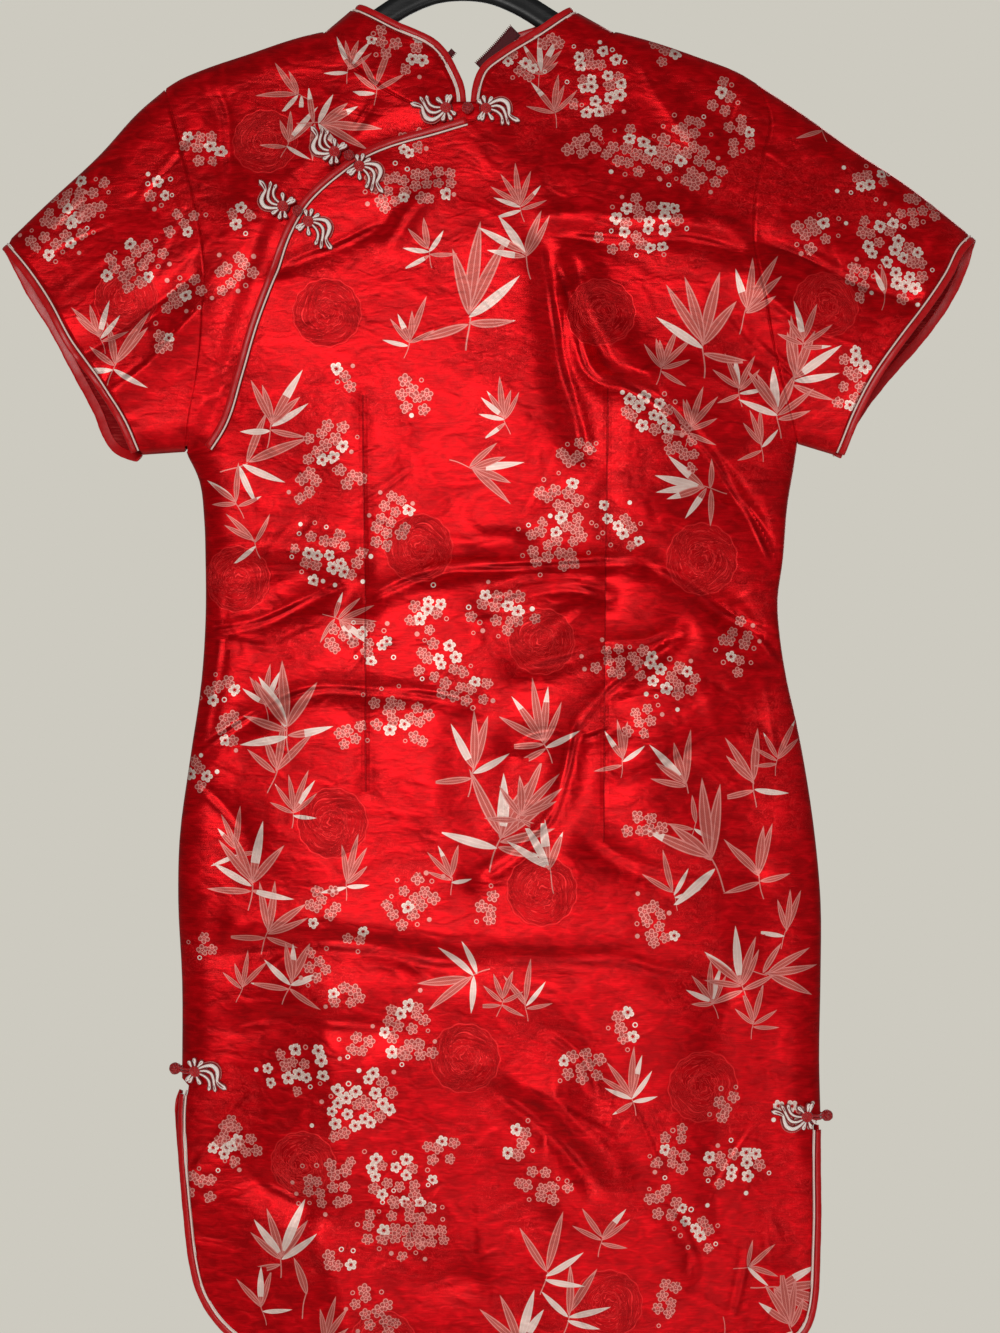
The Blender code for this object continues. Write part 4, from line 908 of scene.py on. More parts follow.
def satin(name, layers=(), inside=False):
    """Red satin brocade: warp sheen, weave, tonal ground and the woven motifs of the given layers."""
    mat, g, bsdf = new_material(name)
    pos = g.node('ShaderNodeTexCoord', out=3)              # object coordinates, metres
    mm = g.node('ShaderNodeVectorMath', {0: pos, 1: (1000.0, 1000.0, 1000.0)}, operation='MULTIPLY')
    x, y, z = g.split(mm)
    flat = g.join(x, z, 0.0)

    def noise2(vec, scale, detail, rough=0.5, dist=0.0):
        return g.node('ShaderNodeTexNoise', {'Vector': vec, 'Scale': scale, 'Detail': detail, 'Roughness': rough,
                                             'Distortion': dist}, noise_dimensions='2D')
    cloudy = noise2(flat, 0.014, 2.0)
    crumple = noise2(g.join(x * 0.6, z * 1.0, 0.0), 0.045, 2.0, 0.5, 0.7)
    small = noise2(g.join(x * 0.45, z * 1.0, 0.0), 0.18, 1.0, 0.6, 0.4)
    fine = noise2(flat, 1.1, 1.0, 0.6)
    slub = noise2(g.join(x * 0.10, z * 1.2, 0.0), 1.0, 1.0)
    # satin floats bound by a fine weft
    warp = g.m('SINE', x * 8.2 + slub * 6.0)
    weave = g.m('MULTIPLY_ADD', warp, g.m('SINE', z * 6.1), 1.0)
    # the red tone varies at random and also follows the crumple and small noise of the bump, so raised crinkles are
    # painted lighter and their hollows darker: partly uneven dye, partly painted light and shade
    tone = g.m('MULTIPLY_ADD', small, 0.45, crumple * 0.35 + slub * 0.22)
    colour = g.ramp(tone, [(0.40, RED_DARK), (0.56, RED), (0.70, RED_LIGHT)])
    # tonal ground figure: thin curling branch lines, painted a little brighter everywhere as a painted sheen where the
    # woven figure would catch the light
    worm = noise2(flat, 0.17, 1.0, 0.5, 1.1)
    lines = g.step(g.m('ABSOLUTE', g.m('FRACT', worm * 7.0) - 0.5) - 0.13, 0.05)
    patch = g.m('MULTIPLY_ADD', cloudy, 8.0, -4.2, clamp=True)
    colour = g.mix(lines * patch * 0.40, colour, srgb(246, 40, 44))
    relief = weave * 0.10 + fine * 0.14 + lines * patch * 0.2 + crumple * 4.6 + small * 1.3
    rough = g.m('MULTIPLY_ADD', small, 0.12, 0.27)

    def stamp(layer, group):
        at = g.node('ShaderNodeAttribute', attribute_name=layer, out=1)
        gr = g.t.nodes.new('ShaderNodeGroup')
        gr.node_tree = GROUPS[group]
        g.put(at, gr.inputs[0])
        return [Sock(g, o) for o in gr.outputs]
    if 'medal' in layers:
        rim, disc = stamp('medal', 'medal')
        tone_m = rim
        colour = g.mix(disc * 0.35, colour, srgb(168, 0, 8))
        colour = g.mix(tone_m * 0.72, colour, srgb(250, 50, 52))
        relief = relief + tone_m * 0.5
        rough = rough + disc * 0.06
    if any(k.startswith(('fan', 'bloom')) for k in layers):
        hatch = g.m('MULTIPLY_ADD', g.m('SINE', (x + z) * 4.4 + fine * 3.0), 0.5, 0.5)
    for layer in [k for k in layers if k.startswith('fan')]:
        fill, line, pale_leaf_and_glint = stamp(layer, 'fan')
        dull = g.mix(hatch * 0.55 + fine * 0.2, SALMON, srgb(164, 62, 58))
        # flagged leaves take a near-white body and white edges: partly the silver thread's own colour, partly a painted
        # glint of it
        body = g.mix(pale_leaf_and_glint, dull, srgb(234, 208, 198))
        edge = g.mix(pale_leaf_and_glint, PALE, WHITE)
        leaf = g.mix(line, body, edge)
        colour = g.mix(fill * (0.86 + small * 0.14), colour, leaf)
        rough = rough + fill * 0.12
    for layer in [k for k in layers if k.startswith('bloom')]:
        petal, line, heart, kind = stamp(layer, 'bloom')
        white = g.m('GREATER_THAN', kind, 0.50)
        body = g.mix(white, g.mix(hatch * 0.5, srgb(186, 84, 78), srgb(160, 40, 42)), srgb(226, 196, 184))
        body = g.mix(line, body, g.mix(white, srgb(228, 148, 140), WHITE))
        colour = g.mix(petal, colour, body)
        colour = g.mix(heart * 0.9, colour, g.mix(white, PALE, GAP_RED))
        rough = rough + petal * 0.10
    if not inside:
        # doubled-over folds: a sharp valley with a lit ridge beside it in the bump, and the valley's colour darkened
        # with painted shade
        d, h, w = g.split(g.node('ShaderNodeAttribute', attribute_name='fold', out=1))
        t = g.m('DIVIDE', d, w)
        valley = g.m('EXPONENT', t * t * -1.0)
        t2 = t - 1.7
        ridge = g.m('EXPONENT', t2 * t2 * -0.8)
        relief = relief + (ridge - valley * 1.1) * h
        # painted shade: the colour is pulled towards a deep red along each fold's valley, by the fold's strength
        painted_fold_shade = g.m('MULTIPLY', valley, h * 0.085, clamp=True)
        colour = g.mix(painted_fold_shade, colour, srgb(70, 0, 4))
        for dx0, dx1, z0, z1 in DARTS:
            # a stitched dart: a straight seam line with the cloth dipping into it
            cx = g.m('MULTIPLY_ADD', z - z0, (dx1 - dx0) / (z1 - z0), dx0)
            gone = g.m('GREATER_THAN', z0, z) * g.m('GREATER_THAN', z, z1)
            dd = g.m('ABSOLUTE', x - cx)
            seam = g.step(dd - 0.5, 0.35) * gone
            dip = g.step(dd - 1.8, 1.6) * gone
            colour = g.mix(seam * 0.5, colour, srgb(96, 0, 4))
            relief = relief - dip * 1.5 - seam * 0.6
    else:
        # the reverse: duller, long floats of the motif yarns lost in it
        streak = noise2(g.join(x * 0.08, z * 1.6, 0.0), 1.0, 2.0, 0.6)
        colour = g.ramp(streak, [(0.3, srgb(112, 2, 8)), (0.55, srgb(142, 8, 14)), (0.72, srgb(176, 52, 50))])
        rough = g.m('MULTIPLY_ADD', small, 0.2, 0.5)
        relief = weave * 0.2 + streak * 0.3
    g.put(colour, bsdf.inputs['Base Color'])
    g.put(rough, bsdf.inputs['Roughness'])
    bsdf.inputs['Metallic'].default_value = 0.45 if not inside else 0.1
    bsdf.inputs['Specular IOR Level'].default_value = 0.6 if not inside else 0.35
    bsdf.inputs['Specular Tint'].default_value = (1.0, 0.20, 0.20, 1.0)
    bsdf.inputs['Sheen Weight'].default_value = 0.06
    bsdf.inputs['Sheen Roughness'].default_value = 0.4
    bsdf.inputs['Sheen Tint'].default_value = (1.0, 0.25, 0.25, 1.0)
    bmp = g.node('ShaderNodeBump', {'Strength': 0.5, 'Distance': 0.00045, 'Height': relief})
    g.put(bmp, bsdf.inputs['Normal'])
    mat.diffuse_color = (*RED, 1)
    return mat


# ======================= where the woven motifs lie =======================
# bamboo sprays: (x, z, size) with 3 the largest
FANS = [(-125, -173, 1), (-133, -212, 1), (-87, -154, 1), (-25, -296, 1), (44, -262, 1), (5, -346, 3),
        (32, -423, 1), (5, -458, 2), (198, -319, 1), (182, -369, 3), (186, -473, 2), (228, -442, 1),
        (-145, -427, 2), (-172, -485, 1), (-133, -658, 3), (-172, -750, 1), (-148, -812, 2), (-168, -854, 1),
        (59, -650, 1), (28, -742, 3), (9, -842, 2), (48, -865, 1), (240, -681, 1), (190, -758, 3), (228, -842, 2),
        (190, -865, 1), (221, -881, 1), (-137, -1058, 2), (-152, -1096, 1), (63, -1069, 2), (236, -1081, 2),
        (198, -1104, 1), (275, -196, 1), (252, -392, 2), (59, -158, 1), (-264, -381, 2), (321, -327, 1),
        (105, -1042, 1), (-95, -573, 1), (121, -681, 1), (-87, -773, 1), (128, -935, 1),
        (48, -300, 2), (12, -318, 2), (-40, -365, 1), (214, -342, 2), (150, -385, 1), (210, -400, 1), (40, -448, 1),
        (62, -668, 2), (8, -690, 2), (44, -722, 2), (66, -764, 2), (-8, -770, 1), (-150, -640, 1), (-142, -690, 2),
        (-128, -720, 1), (-160, -776, 2), (222, -700, 2), (170, -700, 2), (176, -730, 1), (226, -770, 2), (160, -782, 1),
        (246, -812, 1), (212, -852, 2), (-130, -850, 2), (30, -862, 1), (-118, -1085, 2), (-104, -1120, 1), (80, -1100, 2),
        (44, -1124, 2), (250, -1112, 2), (216, -1064, 1), (-110, -196, 2), (-66, -170, 1), (-70, -140, 1), (70, -188, 1),
        (-168, -455, 2), (-158, -515, 1), (-275, -360, 1), (258, -365, 1), (240, -418, 2), (172, -430, 1)]
# plum blossom boughs: place, half length, and whether mostly white
BLOOMS = [(-310, -273, 27, 0), (-287, -254, 18, 0), (-229, -246, 13, 1), (-248, -304, 22, 0), (-210, -273, 13, 0),
          (-198, -215, 18, 0), (-210, -327, 18, 0), (-229, -362, 11, 0), (-168, -269, 11, 1), (-175, -312, 18, 0),
          (-183, -335, 18, 0), (-41, -219, 13, 1), (-25, -246, 18, 0), (-60, -250, 18, 0), (105, -165, 27, 1),
          (152, -138, 11, 0), (90, -212, 13, 0), (128, -219, 22, 0), (167, -223, 27, 0), (175, -196, 13, 0),
          (213, -204, 13, 0), (136, -277, 27, 1), (163, -262, 13, 0), (309, -238, 18, 1), (344, -258, 18, 0),
          (321, -285, 22, 1), (340, -312, 18, 1), (302, -315, 13, 0), (267, -281, 18, 0), (298, -381, 13, 1),
          (298, -404, 13, 0), (144, -419, 22, 1), (86, -450, 13, 0), (75, -481, 18, 0), (121, -504, 18, 1),
          (167, -442, 13, 0), (-91, -388, 11, 0), (-37, -404, 13, 0), (-102, -442, 18, 0), (-83, -465, 11, 0),
          (-52, -496, 18, 0), (-102, -523, 28, 1), (-25, -565, 18, 1), (-68, -588, 18, 1), (-91, -588, 13, 0),
          (-18, -604, 18, 1), (28, -565, 22, 0), (2, -627, 18, 0), (-48, -646, 22, 0), (-83, -662, 11, 0),
          (71, -515, 27, 0), (113, -604, 18, 0), (152, -615, 22, 1), (136, -650, 13, 0), (209, -596, 18, 0),
          (-187, -627, 13, 0), (-179, -658, 13, 0), (-202, -692, 13, 1), (-195, -823, 9, 0), (-37, -785, 22, 0),
          (-106, -788, 13, 0), (-79, -815, 11, 0), (-110, -835, 13, 0), (-87, -854, 13, 0), (144, -804, 18, 0),
          (-125, -912, 22, 1), (-79, -896, 11, 0), (-45, -881, 22, 0), (-78, -938, 28, 1), (-18, -973, 13, 0),
          (44, -969, 13, 0), (90, -912, 18, 0), (121, -881, 13, 0), (-172, -969, 18, 0), (-198, -1004, 13, 0),
          (-102, -1000, 22, 0), (-48, -996, 27, 1), (-91, -1058, 13, 1), (-48, -1031, 27, 0), (-25, -1042, 13, 0),
          (159, -973, 18, 0), (209, -988, 22, 1), (252, -950, 13, 1), (152, -1012, 13, 0), (178, -1035, 18, 1),
          (155, -1088, 13, 0), (-68, -1096, 18, 0), (-60, -132, 14, 0), (-38, -146, 12, 1), (62, -128, 12, 0),
          (46, -152, 14, 1), (200, -176, 14, 0), (-120, -470, 12, 0), (20, -790, 12, 0), (140, -730, 13, 0),
          (-30, -900, 12, 0), (60, -1000, 16, 0), (200, -940, 14, 0), (-180, -970, 12, 1)]
MEDALS = [(-102, -342), (105, -342), (275, -335), (-172, -542), (-33, -519), (182, -527), (-98, -727), (182, -927),
          (2, -904), (60, -778), (-120, -985), (110, -1090), (60, -590), (-150, -210), (-60, -1120), (-255, -330)]
FAN_SIZE = {1: 0.56, 2: 0.80, 3: 1.10}


def layout():
    """Motif lists for the front and the back: layer -> [x, z, angle, size, seed, reach, centre x, centre z]."""
    out = {}
    for side in ('front', 'back'):
        r = random.Random(11 if side == 'front' else 23)
        layers = {k: [] for k in ('fan_a', 'fan_b', 'bloom_a', 'bloom_b', 'medal')}

        def put(x, z):
            # the back carries the same repeat, turned round and a little lower
            return (x, z) if side == 'front' else (54 - x + r.uniform(-9, 9), z - 14 + r.uniform(-9, 9))

        def stow(item, names, least):
            best, room = None, -1e9
            for L in names:
                gap = min([math.hypot(item[6] - q[6], item[7] - q[7]) / (q[5] + item[5]) for q in layers[L]] or [9.0])
                if gap > room:
                    best, room = L, gap
            if room > least:
                layers[best].append(item)
        for x, z, k in sorted(FANS, key=lambda f: -f[2]):
            x, z = put(x, z)
            ang = math.radians(90 + r.uniform(-24, 24))
            if r.random() < 0.10:
                ang += r.choice([-1, 1]) * 1.6
            s = FAN_SIZE[k] * r.uniform(0.92, 1.08)
            # the owning circle sits over the leaves, not over the foot of the spray
            c = 21 * s
            stow((x, z, ang, s, r.uniform(0.1, 9.9), 44 * s, x + c * math.cos(ang), z + c * math.sin(ang)),
                 ('fan_a', 'fan_b'), 0.62)
        for x, z, reach, white in sorted(BLOOMS, key=lambda b: -b[2]):
            x, z = put(x, z)
            reach = round(reach * 1.3 + 2)
            seed = r.uniform(0.52, 0.97) if white else r.uniform(0.03, 0.48)
            stow((x, z, r.uniform(0, 6.28), 1.0, reach + seed, reach * 1.12 + 5.0, x, z), ('bloom_a', 'bloom_b'), 0.55)
        for x, z in MEDALS:
            x, z = put(x, z)
            stow((x, z, r.uniform(0, 6.28), r.uniform(0.92, 1.05), 1.0, 29.0, x, z), ('medal',), 1.05)
        out[side] = layers
    return out


LAYOUT = layout()


LAYERS = ('fan_a', 'fan_b', 'bloom_a', 'bloom_b', 'medal')
# which finish a face takes, by what lies on it: plain, medallion, blossoms, bamboo, both, all
FINISH = ['satin', 'reverse', 'satin_m', 'satin_b', 'satin_f', 'satin_a', 'satin_z']


def hair_creases():
    """Short fine wrinkles, drawn out from the waist, the hips and the armholes."""
    out = []
    r = random.Random(5)
    for side, n in (('front', 150), ('back', 130)):
        for k in range(n):
            zone = r.choice(['waist', 'waist', 'waist', 'hip', 'hem', 'chest', 'arm_l', 'arm_r'])
            if zone == 'waist':
                x, z, a = r.uniform(-185, 230), r.gauss(-580, 62), r.gauss(0.08, 0.30)
            elif zone == 'hip':
                x, z, a = r.uniform(-190, 240), r.gauss(-830, 75), r.gauss(0.0, 0.35)
            elif zone == 'hem':
                x, z, a = r.uniform(-190, 250), r.uniform(-1110, -930), r.gauss(1.2, 0.5)
            elif zone == 'chest':
                x, z, a = r.uniform(-120, 200), r.uniform(-480, -260), r.gauss(0.0, 0.6)
            elif zone == 'arm_l':
                x, z, a = r.uniform(-300, -170), r.uniform(-430, -220), r.gauss(0.75, 0.35)
            else:
                x, z, a = r.uniform(190, 340), r.uniform(-400, -220), r.gauss(-0.45, 0.35)
            L, bow = r.uniform(22, 85), r.uniform(-0.25, 0.25)
            line = []
            for i in range(7):
                t = i / 6.0 - 0.5
                line.append((x + L * t * math.cos(a) - bow * L * (0.25 - t * t) * math.sin(a),
                             z + L * t * math.sin(a) + bow * L * (0.25 - t * t) * math.cos(a)))
            out.append((side, r.choice([-1, 1]) * r.uniform(0.7, 2.4), r.uniform(1.8, 3.4), np.array(line)))
    return out


HAIR = hair_creases()


def fold_field(C, mid, side):
    """For each face corner: signed distance to the fold that rules the face, its strength, its width (mm); the satin
    draws the fold's bump and its painted shade from them.
    """
    n = len(C)
    power = np.full(n, 1e-3)
    out = np.zeros((n, 4, 3), np.float32)
    out[..., 2] = 1.0
    lines = [(h * (0.95 if h < 0 else 0.6), w * 0.27, line, 3.2) for sd, h, w, line in CREASE_LINES if sd == side and w < 15 and abs(h) > 2.2]
    lines += [(h, w, line, 3.0) for sd, h, w, line in HAIR if sd == side]
    for h, w, line, far in lines:
        lo, hi = line.min(0) - far * w - 6, line.max(0) + far * w + 6
        m = np.where((mid[:, 0] > lo[0]) & (mid[:, 0] < hi[0]) & (mid[:, 1] > lo[1]) & (mid[:, 1] < hi[1]))[0]
        if not len(m):
            continue
        dm, _ = signed_to(mid[m], line)
        q = abs(h) * np.exp(-(np.maximum(0, np.abs(dm) - 3) / (1.4 * w))**2)
        m = m[(q > power[m]) & (q > 0.02)]
        if not len(m):
            continue
        dm, _ = signed_to(mid[m], line)
        power[m] = abs(h) * np.exp(-(np.maximum(0, np.abs(dm) - 3) / (1.4 * w))**2)
        d, run = signed_to(C[m].reshape(-1, 2), line)
        fade = smooth(run / 16.0) * (0.72 + 0.28 * np.sin(run / 9.0 + h * 5))
        # folds that stand out carry the lit ridge on the line itself
        shift = 0.0 if h < 0 else 1.7 * w
        out[m, :, 0] = (d + shift).reshape(-1, 4)
        out[m, :, 1] = (abs(h) * fade).reshape(-1, 4)
        out[m, :, 2] = w
    return out


def brocade(ob, P, side_of_face, n_faces):
    """Store, at each face corner, its place inside the motif that owns the face."""
    me = ob.data
    lv = np.empty(len(me.loops), np.int32)
    me.loops.foreach_get('vertex_index', lv)
    start = np.empty(len(me.polygons), np.int32)
    me.polygons.foreach_get('loop_start', start)
    finish = np.empty(len(me.polygons), np.int32)
    me.polygons.foreach_get('material_index', finish)
    idx = lv[start[:n_faces, None] + np.arange(4)[None, :]]
    C = P[idx]                                  # faces, 4, 2
    mid = C.mean(1)
    has = {}
    for L in LAYERS:
        data = np.full((len(me.loops), 3), 500.0, np.float32)
        has[L] = np.zeros(n_faces, bool)
        for side in ('front', 'back'):
            items = LAYOUT[side][L]
            own = side_of_face == side if not isinstance(side_of_face, str) else np.full(n_faces, side_of_face == side)
            if not items or not own.any():
                continue
            A = np.array(items)
            best = np.full(n_faces, 1e9)
            who = np.full(n_faces, -1)
            for k, it in enumerate(A):
                d = np.hypot(mid[:, 0] - it[6], mid[:, 1] - it[7])
                near = (d < it[5] + 4.5)
                q = d / it[5]
                m = near & (q < best)
                best[m], who[m] = q[m], k
            m = (who >= 0) & own
            has[L] |= m
            it = A[who[m]]
            dx, dz = C[m, :, 0] - it[:, None, 0], C[m, :, 1] - it[:, None, 1]
            ca, sa = np.cos(it[:, 2])[:, None], np.sin(it[:, 2])[:, None]
            u = (dx * ca + dz * sa) / it[:, 3][:, None]
            v = (-dx * sa + dz * ca) / it[:, 3][:, None]
            rows = start[:n_faces][m][:, None] + np.arange(4)[None, :]
            data[rows, 0], data[rows, 1] = u, v
            data[rows, 2] = np.repeat(it[:, 4][:, None], 4, 1)
        at = me.attributes.new(L, 'FLOAT_VECTOR', 'CORNER')
        at.data.foreach_set('vector', data.ravel())
    data = np.zeros((len(me.loops), 3), np.float32)
    data[:, 2] = 1.0
    for side in ('front', 'back'):
        own = np.full(n_faces, side_of_face == side) if isinstance(side_of_face, str) else side_of_face == side
        if own.any():
            rows = np.where(own)[0]
            data[start[rows][:, None] + np.arange(4)[None, :]] = fold_field(C[rows], mid[rows], side)
    at = me.attributes.new('fold', 'FLOAT_VECTOR', 'CORNER')
    at.data.foreach_set('vector', data.ravel())
    fan = has['fan_a'] | has['fan_b']
    bloom = has['bloom_a'] | has['bloom_b']
    kind = np.zeros(n_faces, np.int32)
    kind[has['medal']] = 2
    kind[bloom] = 3
    kind[fan & ~bloom] = 4
    kind[fan & bloom] = 5
    kind[has['medal'] & (fan | bloom)] = 6
    finish[:n_faces] = kind
    for m in FINISH[2:]:
        me.materials.append(MATS[m])
    me.polygons.foreach_set('material_index', finish)
    me.update()


# ======================= trims along the edges =======================
def even_path(path, step):
    """Stations (point, side) spaced evenly, with the points eased a little."""
    pts = np.array([tuple(p) for p, s in path])
    sides = [s for p, s in path]
    for _ in range(3):
        q = pts.copy()
        q[1:-1] = 0.25 * pts[:-2] + 0.5 * pts[1:-1] + 0.25 * pts[2:]
        keep = [i for i, s in enumerate(sides) if s == 'fold']
        q[keep] = pts[keep]
        pts = q
    cum = np.concatenate([[0], np.cumsum(np.linalg.norm(np.diff(pts, axis=0), axis=1))])
    n = max(2, int(cum[-1] / step) + 1)
    s = np.linspace(0, cum[-1], n)
    return np.stack([np.interp(s, cum, pts[:, 0]), np.interp(s, cum, pts[:, 1])], 1), s, cum, sides


def sweep(name, pts, normals, section, mats, face_mats=None, closed=False, caps=True):
    """Skin a moving section: section(i, s) -> (k, 2) offsets across and up."""
    pts, normals = np.asarray(pts, float), np.asarray(normals, float)
    n = len(pts)
    if closed:
        T = np.roll(pts, -1, 0) - np.roll(pts, 1, 0)
    else:
        T = np.gradient(pts, axis=0)
    T /= np.linalg.norm(T, axis=1)[:, None]
    Nn = normals - T * (normals * T).sum(1)[:, None]
    Nn /= np.linalg.norm(Nn, axis=1)[:, None]
    U = np.cross(T, Nn)
    s = np.concatenate([[0], np.cumsum(np.linalg.norm(np.diff(pts, axis=0), axis=1))])
    V = []
    for i in range(n):
        sec = section(i, s[i])
        V.append(pts[i] + sec[:, :1] * U[i] + sec[:, 1:] * Nn[i])
    k = len(V[0])
    V = np.vstack(V)
    F = []
    for i in range(n if closed else n - 1):
        for j in range(k):
            a, b = i * k + j, i * k + (j + 1) % k
            c, d = ((i + 1) % n) * k + (j + 1) % k, ((i + 1) % n) * k + j
            F.append((a, b, c, d))
    if not closed and caps:
        F.append(tuple(reversed(range(k))))
        F.append(tuple((n - 1) * k + j for j in range(k)))
    return V, F


def outward(V, F):
    """Flip the faces if they point inwards."""
    vol = 0.0
    V = np.asarray(V)
    c = V.mean(0)
    for f in F:
        p = V[list(f)] - c
        for i in range(1, len(f) - 1):
            vol += p[0] @ np.cross(p[i], p[i + 1])
    return [tuple(reversed(f)) for f in F] if vol < 0 else F


def rounded(ru, rv, n=16, power=2.4, flat_under=0.55):
    a = np.linspace(0, 2 * math.pi, n, endpoint=False) + math.pi / n
    c, s = np.cos(a), np.sin(a)
    x = np.sign(c) * np.abs(c) ** (2 / power) * ru
    y = np.sign(s) * np.abs(s) ** (2 / power) * rv
    y = np.where(y < 0, y * flat_under, y)
    return np.stack([x, y], 1)


def trim_pair(tag, path, out_sign=None, centre=None, fold_dir=None, lean=False):
    """White piping and rolled binding along a cut edge."""
    made = []
    for pre, dist, step, lift in (('piping_', PIPE_IN, 1.1, -0.15), ('binding_', BIND_IN, 2.6, -0.05)):
        dense = []
        pts = np.array([tuple(p) for p, s in path])
        n = len(path)
        q = pts.copy()
        nrm = np.zeros_like(q)
        for i, (p, s) in enumerate(path):
            if s == 'fold' and fold_dir is not None:
                nrm[i] = np.array(fold_dir) / np.hypot(*fold_dir)
                continue
            ed = []
            if i and (fold_dir is None or path[i - 1][1] != 'fold'):
                ed.append(pts[i] - pts[i - 1])
            if i < n - 1 and (fold_dir is None or path[i + 1][1] != 'fold'):
                ed.append(pts[i + 1] - pts[i])
            if not ed:
                ed.append(pts[i] - pts[i - 1])
            m = np.zeros(2)
            for e in ed:
                e = e / max(1e-9, np.hypot(*e))
                w = np.array([-e[1], e[0]])
                if out_sign is not None:
                    w = w * out_sign
                elif (pts[i] - np.array(centre)) @ w < 0:
                    w = -w
                m += w
            nrm[i] = m / max(1e-9, np.hypot(*m))
        for _ in range(2):
            sm = nrm.copy()
            sm[1:-1] = 0.25 * nrm[:-2] + 0.5 * nrm[1:-1] + 0.25 * nrm[2:]
            for i, (p, s) in enumerate(path):
                if s == 'fold':
                    sm[i] = nrm[i]
            nrm = sm / np.linalg.norm(sm, axis=1)[:, None]
        S = np.array([s for p, s in path])
        # behind a cuff the strip is turned further in, with the piping on its outer face
        tuck = (S == 'back').astype(float) if tag.startswith('cuff_') else np.zeros(n)
        for _ in range(6):
            tuck[1:-1] = 0.25 * tuck[:-2] + 0.5 * tuck[1:-1] + 0.25 * tuck[2:]
        q = pts + nrm * (dist - (1.5 * tuck[:, None] if pre == 'binding_' else 0.0))
        B, U = np.zeros((n, 3)), np.zeros((n, 3))
        for side in ('front', 'back'):
            m = (S == 'back') if side == 'back' else (S != 'back')
            if m.any():
                B[m], U[m] = place(q[m], side, 0.0, normals=True)
        for i in np.where(S == 'fold')[0]:
            B[i, 1] = 0.0
            U[i] = (nrm[i][0], 0.0, nrm[i][1])
            if fold_dir is not None:
                f = FOLD_UP[tag]
                U[i] = (f[0], 0.0, f[1])
        if lean:
            for i in range(n):
                if S[i] != 'fold':
                    B[i, 1] += collar_lean(1.0, S[i])
        B = B + U * (lift + (1.5 * tuck[:, None] if pre == 'piping_' else 0.0))
        # resample in space
        cum = np.concatenate([[0], np.cumsum(np.linalg.norm(np.diff(B, axis=0), axis=1))])
        m = max(3, int(cum[-1] / step))
        t = np.linspace(0, cum[-1], m)
        # cubic-ish: interpolate then ease
        BB = np.stack([np.interp(t, cum, B[:, k]) for k in range(3)], 1)
        UU = np.stack([np.interp(t, cum, U[:, k]) for k in range(3)], 1)
        KK = 1.0 + np.interp(t, cum, tuck) * 1.5 / BIND_W
        w = max(1, int(2.2 / step))
        for _ in range(3 * w):
            X = BB.copy()
            X[1:-1] = 0.25 * BB[:-2] + 0.5 * BB[1:-1] + 0.25 * BB[2:]
            BB = X
            X = UU.copy()
            X[1:-1] = 0.25 * UU[:-2] + 0.5 * UU[1:-1] + 0.25 * UU[2:]
            UU = X
        if pre == 'piping_':
            a = np.linspace(0, 2 * math.pi, 8, endpoint=False)
            def sec(i, s):
                rr = PIPE_R * (1.0 - 0.13 * np.abs(np.sin(a + s * 1.35)))
                return np.stack([np.cos(a) * rr, np.sin(a) * rr], 1)
            V, F = sweep(pre + tag, BB, UU, sec, None)
            ob = new_object(pre + tag, V, outward(V, F), ['piping'])
        else:
            base = rounded(BIND_W, BIND_T, 16)
            def sec(i, s):
                k = 1.0 + 0.035 * math.sin(s * 0.31 + 1.0) + 0.02 * math.sin(s * 0.9)
                h = 1.0 + 0.07 * math.sin(s * 0.47) + 0.05 * math.sin(s * 1.3 + 2)
                return base * [k * KK[min(i, len(KK) - 1)], h]
            V, F = sweep(pre + tag, BB, UU, sec, None)
            ob = new_object(pre + tag, V, outward(V, F), ['binding'])
        made.append(ob)
    return made


FOLD_UP = {'cuff_left': (-0.66, 0.75), 'cuff_right': (0.62, 0.78), 'collar_left': (-0.77, 0.64), 'collar_right': (0.80, 0.60)}


# ======================= fastenings =======================
FROGS = [
    ('collar_left', (-12.3, -186.2), 178, False, 'front'), ('collar_right', (17.7, -186.2), -14, False, 'front'),
    ('chest1_left', (-96.9, -220.0), 138, False, 'front'), ('chest1_right', (-77.7, -230.8), -42, False, 'front'),
    ('chest2_left', (-135.4, -262.3), 138, False, 'front'), ('chest2_right', (-116.2, -273.1), -42, False, 'front'),
    ('slitleft_front', (-203.0, -917.0), -22, False, 'front'), ('slitleft_back', (-203.0, -917.0), -22, False, 'back'),
    ('slitright_front', (261.5, -952.0), 176, False, 'front'), ('slitright_back', (261.5, -952.0), 176, False, 'back')]
KNOTS = [('collar_knot', (4.0, -187.0), 'front', 4.2), ('chest1_knot', (-85.6, -223.4), 'front', 3.8),
         ('chest2_knot', (-124.4, -265.8), 'front', 3.8), ('slitleft_knot', (-221.2, -918.0), 'fold', 4.6),
         ('slitright_knot', (280.0, -954.0), 'fold', 4.4)]
# strands that sweep from the disk to the tail: stations (x, y, half width), tail towards +x
STRANDS = [
    [(1.9, 3.4, 0.7), (5.6, 7.0, 1.0), (10.0, 9.2, 1.5), (14.4, 7.8, 1.7), (16.9, 3.6, 1.25), (18.2, -0.5, 0.9),
     (22.0, -2.4, 1.5), (25.4, -3.0, 1.75), (27.0, -3.3, 1.0)],
    [(3.6, 2.0, 0.6), (7.9, 3.8, 0.85), (11.8, 3.2, 1.05), (14.9, -0.2, 0.95), (17.2, -4.3, 0.85), (19.2, -7.4, 1.15),
     (19.9, -8.4, 0.7)],
    [(4.2, -0.2, 0.55), (8.6, -0.6, 0.75), (12.0, -2.4, 0.85), (13.9, -5.4, 0.85), (14.7, -8.2, 1.25), (14.9, -9.4, 0.7)]]
# petals round the disk: direction, reach
PETALS = [(-51, 10.6), (-90, 10.2), (-113, 10.8), (151, 8.8), (112, 9.8), (80, 9.9)]


